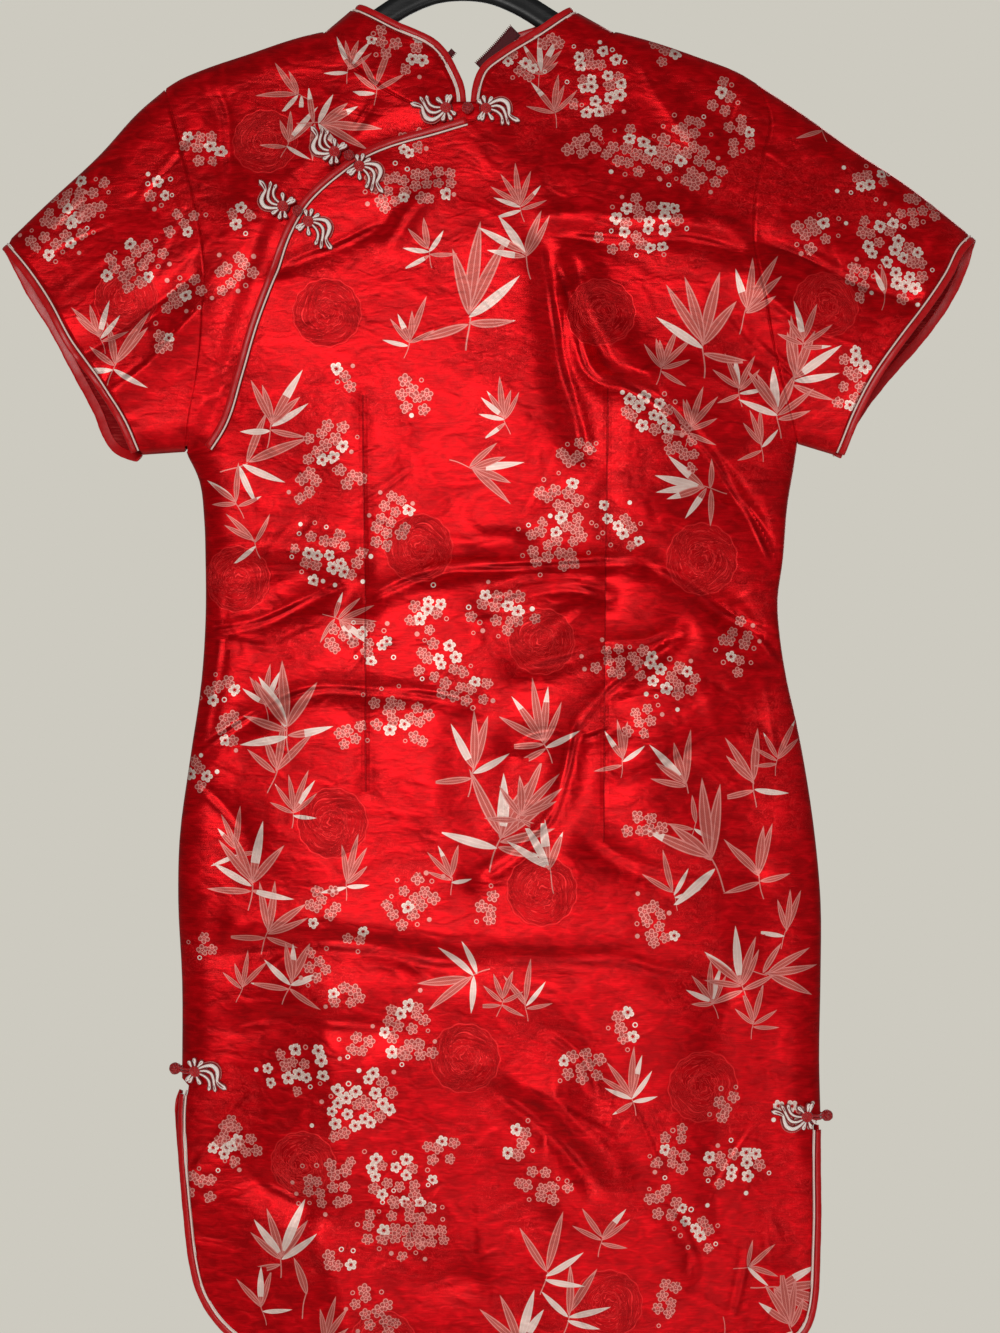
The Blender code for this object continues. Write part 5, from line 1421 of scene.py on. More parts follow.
def tubes(paths, sides=8):
    """Join several tubes laid on cloth. Each: (points, normals, half widths, half thickness)."""
    VV, FF, n0 = [], [], 0
    for pts, nrm, hw, ht in paths:
        a = np.linspace(0, 2 * math.pi, sides, endpoint=False) + 0.3
        hw = np.asarray(hw, float)
        def sec(i, s):
            k = ht if np.ndim(ht) == 0 else ht[i]
            return np.stack([np.cos(a) * hw[i], np.sin(a) * k], 1)
        V, F = sweep('', pts, nrm, sec, None)
        F = outward(V, F)
        VV.append(V)
        FF += [tuple(i + n0 for i in f) for f in F]
        n0 += len(V)
    return np.vstack(VV), FF


def ease_line(rows, n):
    """Smooth stations through (x, y, w) rows."""
    R = np.array(rows, float)
    p = np.array([tuple(v) for v in curve([(a, b) for a, b, c in rows], 10)])
    t = np.linspace(0, len(rows) - 1, len(p))
    w = np.interp(t, np.arange(len(rows)), R[:, 2])
    for _ in range(6):
        w[1:-1] = 0.25 * w[:-2] + 0.5 * w[1:-1] + 0.25 * w[2:]
    cum = np.concatenate([[0], np.cumsum(np.linalg.norm(np.diff(p, axis=0), axis=1))])
    s = np.linspace(0, cum[-1], n)
    return np.stack([np.interp(s, cum, p[:, 0]), np.interp(s, cum, p[:, 1]), np.interp(s, cum, w)], 1)


def frog(name, at, angle, mirror, side):
    """One half of a frog: coiled disk, white loops round it and three strands swept to a tail."""
    a = math.radians(angle)
    ca, sa = math.cos(a), math.sin(a)
    def lay(xy, out):
        xy = np.asarray(xy, float)
        y = -xy[:, 1] if mirror else xy[:, 1]
        P = np.stack([at[0] + xy[:, 0] * ca - y * sa, at[1] + xy[:, 0] * sa + y * ca], 1)
        B, N = place(P, side, 0.0, normals=True)
        return B + N * (np.asarray(out)[:, None] if np.ndim(out) else out), N
    white, dark, red = [], [], []
    for k, rows in enumerate(STRANDS):
        q = ease_line(rows, 30)
        tip = np.minimum(1.0, (29 - np.arange(30)) / 2.2 + 0.25)
        rise = 2.75 + 0.25 * np.sin(np.linspace(0, 5, 30) + k)
        B, N = lay(q[:, :2], rise)
        white.append((B, N, q[:, 2] * tip, 0.85))
        B, N = lay(q[:, :2], 1.75)
        dark.append((B, N, (q[:, 2] + 0.85) * np.minimum(1.0, tip + 0.2), 0.95))
        # the loop's eye, a slit of dark cord near the end
        q2 = q[21:28] if k == 0 else q[22:28]
        B, N = lay(q2[:, :2], 3.35)
        dark.append((B, N, np.sin(np.linspace(0.25, 2.9, len(q2))) * (0.55 if k == 0 else 0.35) + 0.05, 0.32))
        # fine outline cord beside the widest strand
        if k == 0:
            d = np.gradient(q[:, :2], axis=0)
            d /= np.linalg.norm(d, axis=1)[:, None]
            off = q[4:20, :2] + np.stack([-d[4:20, 1], d[4:20, 0]], 1) * (q[4:20, 2:3] + 1.35)
            B, N = lay(off, 2.3)
            red.append((B, N, np.full(len(off), 0.36), 0.36))
    for k, (ang, reach) in enumerate(PETALS):
        r = np.linspace(4.0, reach, 12)
        b = math.radians(ang) + np.linspace(0, 0.10 * math.cos(3.0 * k), 12)
        t = np.linspace(0, 1, 12)
        w = 0.5 + 0.95 * smooth(t * 1.25) 
        w = w * np.sqrt(np.clip(1 - np.clip((t - 0.72) / 0.30, 0, 1) ** 2, 0.02, 1))
        xy = np.stack([r * np.cos(b), r * np.sin(b)], 1)
        B, N = lay(xy, 2.6)
        white.append((B, N, w, 0.8))
        B, N = lay(xy * 1.03, 1.75)
        dark.append((B, N, w + 0.75, 0.9))
        m = slice(6, 11)
        B, N = lay(xy[m], 3.2)
        dark.append((B, N, [0.08, 0.26, 0.32, 0.26, 0.06], 0.3))
    # the disk: cord wound in a spiral over a low dome
    th = np.linspace(0, 2 * math.pi * 3.1, 76)
    r = 0.15 + 4.0 * th / th[-1]
    B, N = lay(np.stack([r * np.cos(th), r * np.sin(th)], 1), 3.75 - 0.9 * (r / 4.1) ** 2)
    coil = [(B, N, np.full(76, 0.68), 0.62)]
    if name.startswith('slit'):
        # a doubled cord from the disk, round the edge, to the button knot
        kx, kz = next(k[1] for k in KNOTS if k[0] == name.split('_')[0] + '_knot')
        rim = kx + (7.2 if kx < 0 else -7.2)
        for dz in (-1.25, 1.25):
            t = np.linspace(0, 1, 9)
            P = np.stack([at[0] + (rim - at[0]) * t, at[1] + dz + (kz - at[1]) * t], 1)
            B, N = place(P, side, 0.0, normals=True)
            B = B + N * (2.7 - 1.6 * t[:, None])
            C = np.stack([np.linspace(rim, kx, 5)[1:], B[-1, 1] * np.array([0.7, 0.4, 0.2, 0.0]),
                          np.full(4, kz) + dz * np.array([1.0, 0.9, 0.7, 0.5])], 1)
            coil.append((np.vstack([B, C]), np.vstack([N, np.repeat(N[-1:], 4, 0)]), np.full(13, 0.85), 0.75))
    V1, F1 = tubes(white, 10)
    V2, F2 = tubes(dark, 8)
    V3, F3 = tubes(coil, 7)
    V4, F4 = tubes(red, 6)
    # pad beneath the disk
    n = 24
    ring, FP = [], []
    for rr, out in ((4.7, 0.5), (5.0, 1.5), (4.6, 2.6), (2.4, 3.2)):
        aa = np.linspace(0, 2 * math.pi, n, endpoint=False)
        ring.append(lay(np.stack([rr * np.cos(aa), rr * np.sin(aa)], 1), out)[0])
    top = lay([(0, 0)], 3.3)[0]
    low = lay([(0, 0)], 0.5)[0]
    V5 = np.vstack(ring + [top, low])
    for i in range(3):
        for j in range(n):
            FP.append((i * n + j, i * n + (j + 1) % n, (i + 1) * n + (j + 1) % n, (i + 1) * n + j))
    for j in range(n):
        FP.append((3 * n + j, 3 * n + (j + 1) % n, 4 * n))
        FP.append(((j + 1) % n, j, 4 * n + 1))
    FP = outward(V5, FP)
    V, F, M, k0 = [], [], [], 0
    for VV, FF, mi in ((V1, F1, 0), (V2, F2, 1), (V3, F3, 2), (V4, F4, 3), (V5, FP, 1)):
        V.append(VV)
        F += [tuple(i + k0 for i in f) for f in FF]
        M += [mi] * len(FF)
        k0 += len(VV)
    ob = new_object('frog_' + name, np.vstack(V), F, ['cord_white', 'cord_dark', 'cord_red', 'cord_pink'], M)
    return ob


def knot(name, at, side, r):
    """A button knot: interlaced strands of red cord round a core."""
    if side == 'fold':
        c = np.array([at[0], 0.0, at[1]])
        dim = np.array([r * 1.05, r, r])
    else:
        B, N = place(np.array([at]), side, 0.0, normals=True)
        c = (B + N * (1.5 + 0.8 * r))[0]
        dim = np.array([r, r * 0.8, r])
    paths = []
    for k, (tilt, spin) in enumerate(((0, 0), (90, 20), (90, 80), (90, 140), (40, 30), (-40, 100), (55, 160))):
        t = np.linspace(0, 2 * math.pi, 33)[:-1]
        wob = 0.86 + 0.04 * np.sin(3 * t + k)
        ring = np.stack([np.cos(t) * wob, np.sin(t) * wob, 0.10 * np.sin(2 * t + k)], 1)
        Rm = np.array((Matrix.Rotation(math.radians(spin), 3, 'Z') @ Matrix.Rotation(math.radians(tilt), 3, 'X')))
        ring = ring @ Rm.T
        nrm = ring / np.linalg.norm(ring, axis=1)[:, None]
        paths.append((c + ring * dim, nrm))
    VV, FF, n0 = [], [], 0
    for pts, nrm in paths:
        aa = np.linspace(0, 2 * math.pi, 8, endpoint=False)
        w = 0.20 * r
        V, F = sweep('', pts, nrm, lambda i, s: np.stack([np.cos(aa) * w, np.sin(aa) * w * 0.7], 1), None, closed=True)
        F = outward(V, F)
        VV.append(V)
        FF += [tuple(i + n0 for i in f) for f in F]
        n0 += len(V)
    # core
    m, k = 14, 20
    V = [c + dim * 0.80 * np.array([math.sin(math.pi * i / m) * math.cos(2 * math.pi * j / k),
                                     math.sin(math.pi * i / m) * math.sin(2 * math.pi * j / k),
                                     math.cos(math.pi * i / m)]) for i in range(1, m) for j in range(k)]
    F = [(i * k + j, (i + 1) * k + j, (i + 1) * k + (j + 1) % k, i * k + (j + 1) % k) for i in range(m - 2) for j in range(k)]
    F += [tuple(range(k)), tuple((m - 2) * k + j for j in reversed(range(k)))]
    F = outward(np.array(V), F)
    VV.append(np.array(V))
    FF += [tuple(i + n0 for i in f) for f in F]
    return new_object('frog_' + name, np.vstack(VV), FF, ['cord_knot'])


# ======================= zip =======================
SLIDER_Z = -306.0
TAPE_W = 9.0


def zip_tape(which, rows):
    """Woven tape with a row of coil teeth along its inner edge."""
    cix = 1 if which == 'L' else 0
    sg = -1 if which == 'L' else 1
    end = NECKLINE['LB' if which == 'L' else 'RB'][-1][1]
    line = [r[cix] for r in rows if -297.5 < r[cix][1] < end - 0.5]
    cum = [0.0]
    for a, b in zip(line, line[1:]):
        cum.append(cum[-1] + (b - a).length)
    line = resample(line, int(cum[-1] / 2.0))
    cols_ = np.array([0.7, 1.0, 2.2, 4.0, 6.0, 8.0, TAPE_W])
    thick = np.array([0.75, 1.0, 0.8, 0.75, 0.75, 0.75, 0.7])
    P = np.array([[p.x + sg * c, p.y] for p in line for c in cols_])
    V, N = place(P, 'back', 0.0, normals=True)
    top = V - N * (1.35)
    low = top - N * np.tile(thick, len(line))[:, None]
    k = len(cols_)
    F = []
    n = len(line)
    off = n * k
    for i in range(n - 1):
        for j in range(k - 1):
            a, b, c, d = i * k + j, i * k + j + 1, (i + 1) * k + j + 1, (i + 1) * k + j
            F.append((a, b, c, d))
            F.append((off + d, off + c, off + b, off + a))
        for j in (0, k - 1):
            a, d = i * k + j, (i + 1) * k + j
            F.append((a, d, off + d, off + a) if j == 0 else (d, a, off + a, off + d))
    for i in (0, n - 1):
        for j in range(k - 1):
            a, b = i * k + j, i * k + j + 1
            F.append((b, a, off + a, off + b) if i == 0 else (a, b, off + b, off + a))
    V = np.vstack([top, low])
    F = [tuple(f) for f in outward(V, F)]
    # the top of the tape, standing along the back end of the collar half
    if which == 'L':
        ends, reach, ys = np.array([(-7.5, -131.5), (-24.0, -148.0)]), (-2.4, 2.2), (11.3, 12.9)
    else:
        ends, reach, ys = np.array([(41.0, -117.0), (13.5, -144.5)]), (-4.8, 5.6), (9.2, 14.6)
    t = np.linspace(0, 1, 16)
    mid = ends[0] + (ends[1] - ends[0]) * t[:, None]
    mid[:, 1] -= 0.9 * np.sin(t * math.pi)
    nrm = np.array([-0.707, 0.707]) if which == 'R' else np.array([0.707, -0.707])
    wide = np.linspace(reach[0], reach[1], 5)
    y = ys[0] + (ys[1] - ys[0]) * t
    W = []
    for dy in (0.0, 0.8):
        for i in range(16):
            for w in wide:
                p = mid[i] + nrm * w
                W.append((p[0], y[i] + dy - 0.05 * w, p[1]))
    W = np.array(W)
    G = []
    for i in range(15):
        for j in range(4):
            a, b, c, d = i * 5 + j, i * 5 + j + 1, (i + 1) * 5 + j + 1, (i + 1) * 5 + j
            G += [(a, b, c, d), (80 + d, 80 + c, 80 + b, 80 + a)]
        for j in (0, 4):
            a, d = i * 5 + j, (i + 1) * 5 + j
            G.append((a, d, 80 + d, 80 + a) if j == 0 else (d, a, 80 + a, 80 + d))
    for i in (0, 15):
        for j in range(4):
            a, b = i * 5 + j, i * 5 + j + 1
            G.append((b, a, 80 + a, 80 + b) if i == 0 else (a, b, 80 + b, 80 + a))
    G = [tuple(int(v) + len(V) for v in f) for f in outward(W, G)]
    tape = new_object('zip_tape_' + ('left' if which == 'L' else 'right'), np.vstack([V, W]), F + G, ['tape'])

    def wind(B, N, across):
        """A wire wound along an edge, its turns standing as teeth."""
        cum = np.concatenate([[0], np.cumsum(np.linalg.norm(np.diff(B, axis=0), axis=1))])
        turns = cum[-1] / 1.5
        m = int(turns * 10)
        s = np.linspace(0, cum[-1], m)
        C = np.stack([np.interp(s, cum, B[:, j]) for j in range(3)], 1)
        NN = np.stack([np.interp(s, cum, N[:, j]) for j in range(3)], 1)
        ph = np.linspace(0, 2 * math.pi * turns, m)
        A = np.tile(np.array(across), (m, 1))
        A = A - NN * (A * NN).sum(1)[:, None]
        pts = C + A * (np.cos(ph) * 1.05)[:, None] + NN * (np.sin(ph) * 0.55)[:, None]
        aa = np.linspace(0, 2 * math.pi, 6, endpoint=False)
        return sweep('', pts, NN + 0.3, lambda i, s: np.stack([np.cos(aa) * 0.26, np.sin(aa) * 0.26], 1), None)

    edge = np.array([[p.x + sg * 0.2, p.y] for p in line])
    B, N = place(edge, 'back', 0.0, normals=True)
    V, F = wind(B - N * 1.75, N, (sg, 0, 0.0))
    F = [tuple(f) for f in outward(V, F)]
    rim = mid + nrm * reach[1]
    V2, F2 = wind(np.stack([rim[:, 0], y - 0.3, rim[:, 1]], 1), np.tile([0.0, -1.0, 0.0], (16, 1)), (nrm[0], 0, nrm[1]))
    F2 = [tuple(int(v) + len(V) for v in f) for f in outward(V2, F2)]
    coil = new_object('zip_teeth_' + ('left' if which == 'L' else 'right'), np.vstack([V, V2]), F + F2, ['teeth'])
    return tape, coil


def lathe_box(name, outline, y0, y1, mats, bevel=0.35, at=(0, 0, 0)):
    """A flat plate of the given (x, z) outline between two depths, edges bevelled."""
    bm = bmesh.new()
    lo = [bm.verts.new((x, y0, z)) for x, z in outline]
    hi = [bm.verts.new((x, y1, z)) for x, z in outline]
    bm.faces.new(lo)
    bm.faces.new(list(reversed(hi)))
    n = len(outline)
    for i in range(n):
        bm.faces.new((lo[(i + 1) % n], lo[i], hi[i], hi[(i + 1) % n]))
    bmesh.ops.recalc_face_normals(bm, faces=bm.faces)
    if bevel:
        bmesh.ops.bevel(bm, geom=[e for e in bm.edges], offset=bevel, segments=3, affect='EDGES', profile=0.6)
    me = bpy.data.meshes.new(name)
    for v in bm.verts:
        v.co = (v.co + Vector(at)) * MM
    bm.to_mesh(me)
    bm.free()
    ob = bpy.data.objects.new(name, me)
    col.objects.link(ob)
    return finish_mesh(ob, mats)


PIVOT = (-2.6, 26.691, -304.0)


def join_objects(name, obs):
    """One mesh from several, with their materials kept."""
    V, F, M, S, mats, n0 = [], [], [], [], [], 0
    for ob in obs:
        me = ob.data
        idx = []
        for m in me.materials:
            if m not in mats:
                mats.append(m)
            idx.append(mats.index(m))
        V += [tuple(ob.matrix_world @ v.co) for v in me.vertices]
        for p in me.polygons:
            F.append(tuple(n0 + i for i in p.vertices))
            M.append(idx[p.material_index])
            S.append(p.use_smooth)
        n0 += len(me.vertices)
    me = bpy.data.meshes.new(name)
    me.from_pydata(V, [], F)
    for m in mats:
        me.materials.append(m)
    me.polygons.foreach_set('material_index', M)
    me.polygons.foreach_set('use_smooth', S)
    for ob in obs:
        old = ob.data
        bpy.data.objects.remove(ob)
        bpy.data.meshes.remove(old)
    ob = bpy.data.objects.new(name, me)
    col.objects.link(ob)
    return ob


def rod(name, a, b, r, mats, sides=20, dome=True):
    a, b = np.array(a, float), np.array(b, float)
    t = (b - a) / np.linalg.norm(b - a)
    ref = np.array([0, 0, 1.0]) if abs(t[2]) < 0.9 else np.array([1.0, 0, 0])
    stations, rad = [a], [r * 0.55]
    stations += [a + t * r * 0.25, b - t * r * 0.25, b]
    rad += [r, r, r * 0.55]
    aa = np.linspace(0, 2 * math.pi, sides, endpoint=False)
    V, F = sweep('', np.array(stations), np.tile(np.cross(t, ref), (4, 1)),
                 lambda i, s: np.stack([np.cos(aa) * rad[i], np.sin(aa) * rad[i]], 1), None)
    return new_object(name, V, outward(V, F), mats)


def slider_and_pull():
    px, py, pz = PIVOT
    plate = [(-3.1, 5.0), (-1.6, 5.2), (1.6, 5.2), (3.1, 5.0), (3.5, 3.2), (3.2, 0.5), (2.75, -2.2), (2.8, -4.6), (2.2, -5.0),
             (-2.2, -5.0), (-2.8, -4.6), (-2.75, -2.2), (-3.2, 0.5), (-3.5, 3.2)]
    zc = -306.0
    top = lathe_box('zs_top', plate, 24.15, 25.19, ['metal'], 0.32, (px, 0, zc))
    low = lathe_box('zs_low', plate, 22.19, 22.95, ['metal'], 0.25, (px, 0, zc))
    neck = lathe_box('zs_neck', [(-1.1, 4.6), (1.1, 4.6), (1.3, 2.4), (0.6, 0.8), (-0.6, 0.8), (-1.3, 2.4)],
                     22.6, 24.5, ['metal'], 0.0, (px, 0, zc))
    walls = [lathe_box('zs_w%d' % k, [(k * 2.5, 3.4), (k * 3.2, 3.2), (k * 2.7, -4.6), (k * 2.1, -4.6)],
                       22.7, 24.4, ['metal'], 0.0, (px, 0, zc)) for k in (-1, 1)]
    # lug with its pin
    lug = lathe_box('zs_lug', [(-0.65, 1.3), (0.65, 1.3), (0.65, -1.3), (-0.65, -1.3)], 24.9, 27.45, ['metal'], 0.3,
                    (px, 0, pz))
    pin = rod('zs_pin', (px - 2.15, py, pz), (px + 2.15, py, pz), 0.42, ['metal'])
    slider = join_objects('zip_slider_body', [top, low, neck, lug, pin] + walls)
    # pull: a fork over the pin, a waisted plate and a ribbed grip
    y0, y1 = py - 0.6, py + 0.6
    arms = []
    for k in (-1, 1):
        arms.append(lathe_box('zp_a%d' % k, [(k * 0.95, -5.4), (k * 0.95, 0.1), (k * 1.1, 0.62), (k * 1.45, 0.8),
                                             (k * 1.8, 0.8), (k * 2.15, 0.62), (k * 2.3, 0.1), (k * 2.3, -5.4)],
                              y0, y1, ['metal'], 0.26, (px, 0, pz)))
    body = lathe_box('zp_body', [(-2.3, -4.2), (2.3, -4.2), (2.3, -5.6), (1.75, -7.4), (1.6, -9.5), (1.85, -12.0), (2.3, -14.5),
                                 (2.3, -22.6), (2.0, -24.1), (1.2, -25.0), (0, -25.2), (-1.2, -25.0), (-2.0, -24.1),
                                 (-2.3, -22.6), (-2.3, -14.5), (-1.85, -12.0), (-1.6, -9.5), (-1.75, -7.4), (-2.3, -5.6)],
                     y0 + 0.02, y1 - 0.02, ['metal'], 0.30, (px, 0, pz))
    bars = [lathe_box('zp_b%d' % k, [(-1.55, 0.34), (1.55, 0.34), (1.55, -0.34), (-1.55, -0.34)], y0 - 0.09, y1 + 0.09,
                      ['metal'], 0.14, (px, 0, pz - 15.6 - 1.45 * k)) for k in range(6)]
    pull = join_objects('zip_pull_tab', arms + [body] + bars)
    return slider, pull


# ======================= hanger =======================
ARMS = [(-216, -181, 5.5), (-190, -168, 7.5), (-150, -153, 8.5), (-115, -140, 9), (-88, -128, 9.2), (-66, -113, 9.2),
        (-44, -99, 9.2), (-22, -90, 9.4), (0, -87, 10), (22, -90, 9.4), (44, -99, 9.2), (67, -113, 9.2),
        (90, -127, 9.2), (120, -140, 9), (155, -153, 8.5), (192, -167, 7.5), (214, -178, 5.5)]
ARM_DEPTH = 4.6


def hanger():
    line = curve([(a, b) for a, b, c in ARMS], 10)
    hs = [p.y for p in curve([(i * 10.0, c) for i, (a, b, c) in enumerate(ARMS)], 10)]
    pts = np.array([(p.x, 0.0, p.y) for p in line])
    n = len(pts)
    ends = np.minimum(np.arange(n), n - 1 - np.arange(n))
    taper = np.where(ends < 10, np.sqrt(1 - (1 - np.clip((ends + 1.2) / 11.0, 0, 1)) ** 2), 1.0)
    k = 32
    aa = np.linspace(0, 2 * math.pi, k, endpoint=False) + math.pi / k
    c, s = np.cos(aa), np.sin(aa)
    def sec(i, dist):
        # rounded bar with a moulding seam round its middle and a shallow channel in each face
        across = np.sign(s) * np.abs(s) ** (2 / 2.7) * ARM_DEPTH * 0.985
        up = np.sign(c) * np.abs(c) ** (2 / 2.3) * hs[i] * 0.985
        dent = 0.5 * np.exp(-(up / (hs[i] * 0.42)) ** 4) * np.abs(s) ** 6
        seam = 0.14 * np.exp(-((across) / 0.28) ** 2)
        f = taper[i]
        return np.stack([(across - np.sign(across) * dent) * f, (up + np.sign(up) * seam) * f], 1)
    up = np.gradient(pts, axis=0)
    up /= np.linalg.norm(up, axis=1)[:, None]
    nrm = np.stack([-up[:, 2], np.zeros(n), up[:, 0]], 1)
    V, F = sweep('', pts, nrm, sec, None)
    bar = new_object('hb_bar', V, outward(V, F), ['hanger'])
    # socket that the hook screws into
    prof = [(0.05, -80.5), (5.4, -80.2), (5.6, -78.9), (5.2, -77.6), (4.3, -76.9), (3.6, -76.5), (2.4, -76.3), (0.05, -76.25)]
    V, F = [], []
    m = 36
    for r, z in prof:
        for j in range(m):
            t = 2 * math.pi * j / m
            V.append((r * math.cos(t), min(1.0, 4.55 / 5.6) * r * math.sin(t), z))
    for i in range(len(prof) - 1):
        for j in range(m):
            F.append((i * m + j, i * m + (j + 1) % m, (i + 1) * m + (j + 1) % m, (i + 1) * m + j))
    F.append(tuple(reversed(range(m))))
    F.append(tuple((len(prof) - 1) * m + j for j in range(m)))
    sock = new_object('hb_sock', V, outward(np.array(V), F), ['hanger'])
    body = join_objects('hanger_arms', [bar, sock])
    # hook
    wire, bend = 1.8, 21.8
    path = []
    for i in range(73):
        a = math.radians(lerp(-100, 128, i / 72.0))
        path.append((bend * math.sin(a), 0, -20.0 + bend * math.cos(a)))
    tail = curve([(path[-2][0], path[-2][2]), (path[-1][0], path[-1][2]), (9.5, -41.5), (3.2, -48.0), (0.25, -56.0), (0, -66), (0, -76.2)], 8)
    path += [(p.x, 0, p.y) for p in tail[9:]]
    P = np.array(path)
    # even stations
    cum = np.concatenate([[0], np.cumsum(np.linalg.norm(np.diff(P, axis=0), axis=1))])
    st = np.linspace(0, cum[-1], 170)
    P = np.stack([np.interp(st, cum, P[:, j]) for j in range(3)], 1)
    for _ in range(4):
        P[1:-1] = 0.25 * P[:-2] + 0.5 * P[1:-1] + 0.25 * P[2:]
    aa = np.linspace(0, 2 * math.pi, 24, endpoint=False)
    nn = len(P)
    rr = np.full(nn, wire)
    for i in range(4):
        rr[i] = wire * math.sqrt(1 - (1 - (i + 0.35) / 4.2) ** 2)
    V, F = sweep('', P, np.tile([0, 1.0, 0], (nn, 1)), lambda i, s: np.stack([np.cos(aa) * rr[i], np.sin(aa) * rr[i]], 1), None)
    hook = new_object('hanger_wire_hook', V, outward(V, F), ['hook'])
    return body, hook


# ======================= other materials =======================
def cord_material(name, colour, groove_shade_and_blotch, rough, twist=4.2, bump=0.5, spec=0.5, sheen=0.25):
    """Wrapped satin cord or bias strip: fine diagonal threads over a slightly uneven colour; the colour darkens in the
    grooves between the threads as painted shade and lightens a touch on their crests as a painted highlight.
    """
    mat, g, bsdf = new_material(name)
    pos = g.node('ShaderNodeTexCoord', out=3)
    mm = g.node('ShaderNodeVectorMath', {0: pos, 1: (1000.0, 1000.0, 1000.0)}, operation='MULTIPLY')
    x, y, z = g.split(mm)
    blot = g.noise(mm, 0.35, 3.0, 0.6)
    fine = g.noise(mm, 3.2, 2.0, 0.6)
    thread = g.m('MULTIPLY_ADD', g.m('SINE', (x + z * 0.8 + y * 0.6) * twist + fine * 1.6), 0.5, 0.5)
    # painted shade and highlight: the thread stripes of the bump also darken the grooves and lighten the crests, mixed
    # with random blotches
    f = thread * 0.35 + blot * 0.5 + fine * 0.25
    c = g.ramp(f, [(0.22, groove_shade_and_blotch), (0.62, colour), (0.92, tuple(min(1.0, v * 1.08 + 0.01) for v in colour))])
    g.put(c, bsdf.inputs['Base Color'])
    g.put(g.m('MULTIPLY_ADD', blot, 0.18, rough - 0.09), bsdf.inputs['Roughness'])
    bsdf.inputs['Specular IOR Level'].default_value = spec
    bsdf.inputs['Sheen Weight'].default_value = sheen
    bsdf.inputs['Sheen Roughness'].default_value = 0.4
    b = g.node('ShaderNodeBump', {'Strength': bump, 'Distance': 0.0002, 'Height': thread + fine * 0.4})
    g.put(b, bsdf.inputs['Normal'])
    mat.diffuse_color = (*colour, 1)
    return mat


def plastic_material():
    mat, g, bsdf = new_material('hanger_black')
    pos = g.node('ShaderNodeTexCoord', out=3)
    mm = g.node('ShaderNodeVectorMath', {0: pos, 1: (1000.0, 1000.0, 1000.0)}, operation='MULTIPLY')
    cloud = g.noise(mm, 0.03, 3.0)
    grain = g.noise(mm, 1.6, 3.0, 0.6)
    scuff = g.noise(g.node('ShaderNodeVectorMath', {0: mm, 1: (0.05, 0.6, 0.9)}, operation='MULTIPLY'), 1.0, 4.0, 0.7)
    c = g.ramp(cloud * 0.6 + scuff * 0.4, [(0.3, (0.008, 0.008, 0.009)), (0.55, (0.013, 0.013, 0.014)), (0.75, (0.028, 0.028, 0.03))])
    g.put(c, bsdf.inputs['Base Color'])
    bsdf.inputs['Specular IOR Level'].default_value = 0.22
    g.put(g.m('MULTIPLY_ADD', scuff, 0.30, 0.20), bsdf.inputs['Roughness'])
    g.put(g.node('ShaderNodeBump', {'Strength': 0.25, 'Distance': 0.0002, 'Height': grain + scuff * 0.5}), bsdf.inputs['Normal'])
    return mat


def metal_material(name, colour, rough, metallic, brushed):
    mat, g, bsdf = new_material(name)
    pos = g.node('ShaderNodeTexCoord', out=3)
    mm = g.node('ShaderNodeVectorMath', {0: pos, 1: (1000.0, 1000.0, 1000.0)}, operation='MULTIPLY')
    cloud = g.noise(mm, 0.22, 3.0, 0.6)
    line = g.noise(g.node('ShaderNodeVectorMath', {0: mm, 1: brushed}, operation='MULTIPLY'), 1.0, 3.0, 0.7)
    c = g.ramp(cloud, [(0.3, tuple(v * 0.78 for v in colour)), (0.7, colour)])
    g.put(c, bsdf.inputs['Base Color'])
    g.put(g.m('MULTIPLY_ADD', line, 0.24, rough - 0.1), bsdf.inputs['Roughness'])
    bsdf.inputs['Metallic'].default_value = metallic
    g.put(g.node('ShaderNodeBump', {'Strength': 0.15, 'Distance': 0.0001, 'Height': line}), bsdf.inputs['Normal'])
    return mat


def tape_material():
    mat, g, bsdf = new_material('zip_tape_weave')
    pos = g.node('ShaderNodeTexCoord', out=3)
    mm = g.node('ShaderNodeVectorMath', {0: pos, 1: (1000.0, 1000.0, 1000.0)}, operation='MULTIPLY')
    x, y, z = g.split(mm)
    h = g.m('MULTIPLY_ADD', g.m('SINE', (z + g.m('PINGPONG', x, 1.1)) * 7.5), 0.5, 0.5)
    n = g.noise(mm, 0.8, 3.0)
    # the weave's ribs, which also make the bump, darken the colour in their hollows: painted shade, mixed with random
    # tone
    c = g.ramp(h * 0.5 + n * 0.5, [(0.25, srgb(58, 6, 14)), (0.7, srgb(112, 14, 28))])
    g.put(c, bsdf.inputs['Base Color'])
    g.put(g.m('MULTIPLY_ADD', n, 0.2, 0.58), bsdf.inputs['Roughness'])
    bsdf.inputs['Sheen Weight'].default_value = 0.15
    g.put(g.node('ShaderNodeBump', {'Strength': 0.5, 'Distance': 0.0003, 'Height': h}), bsdf.inputs['Normal'])
    return mat


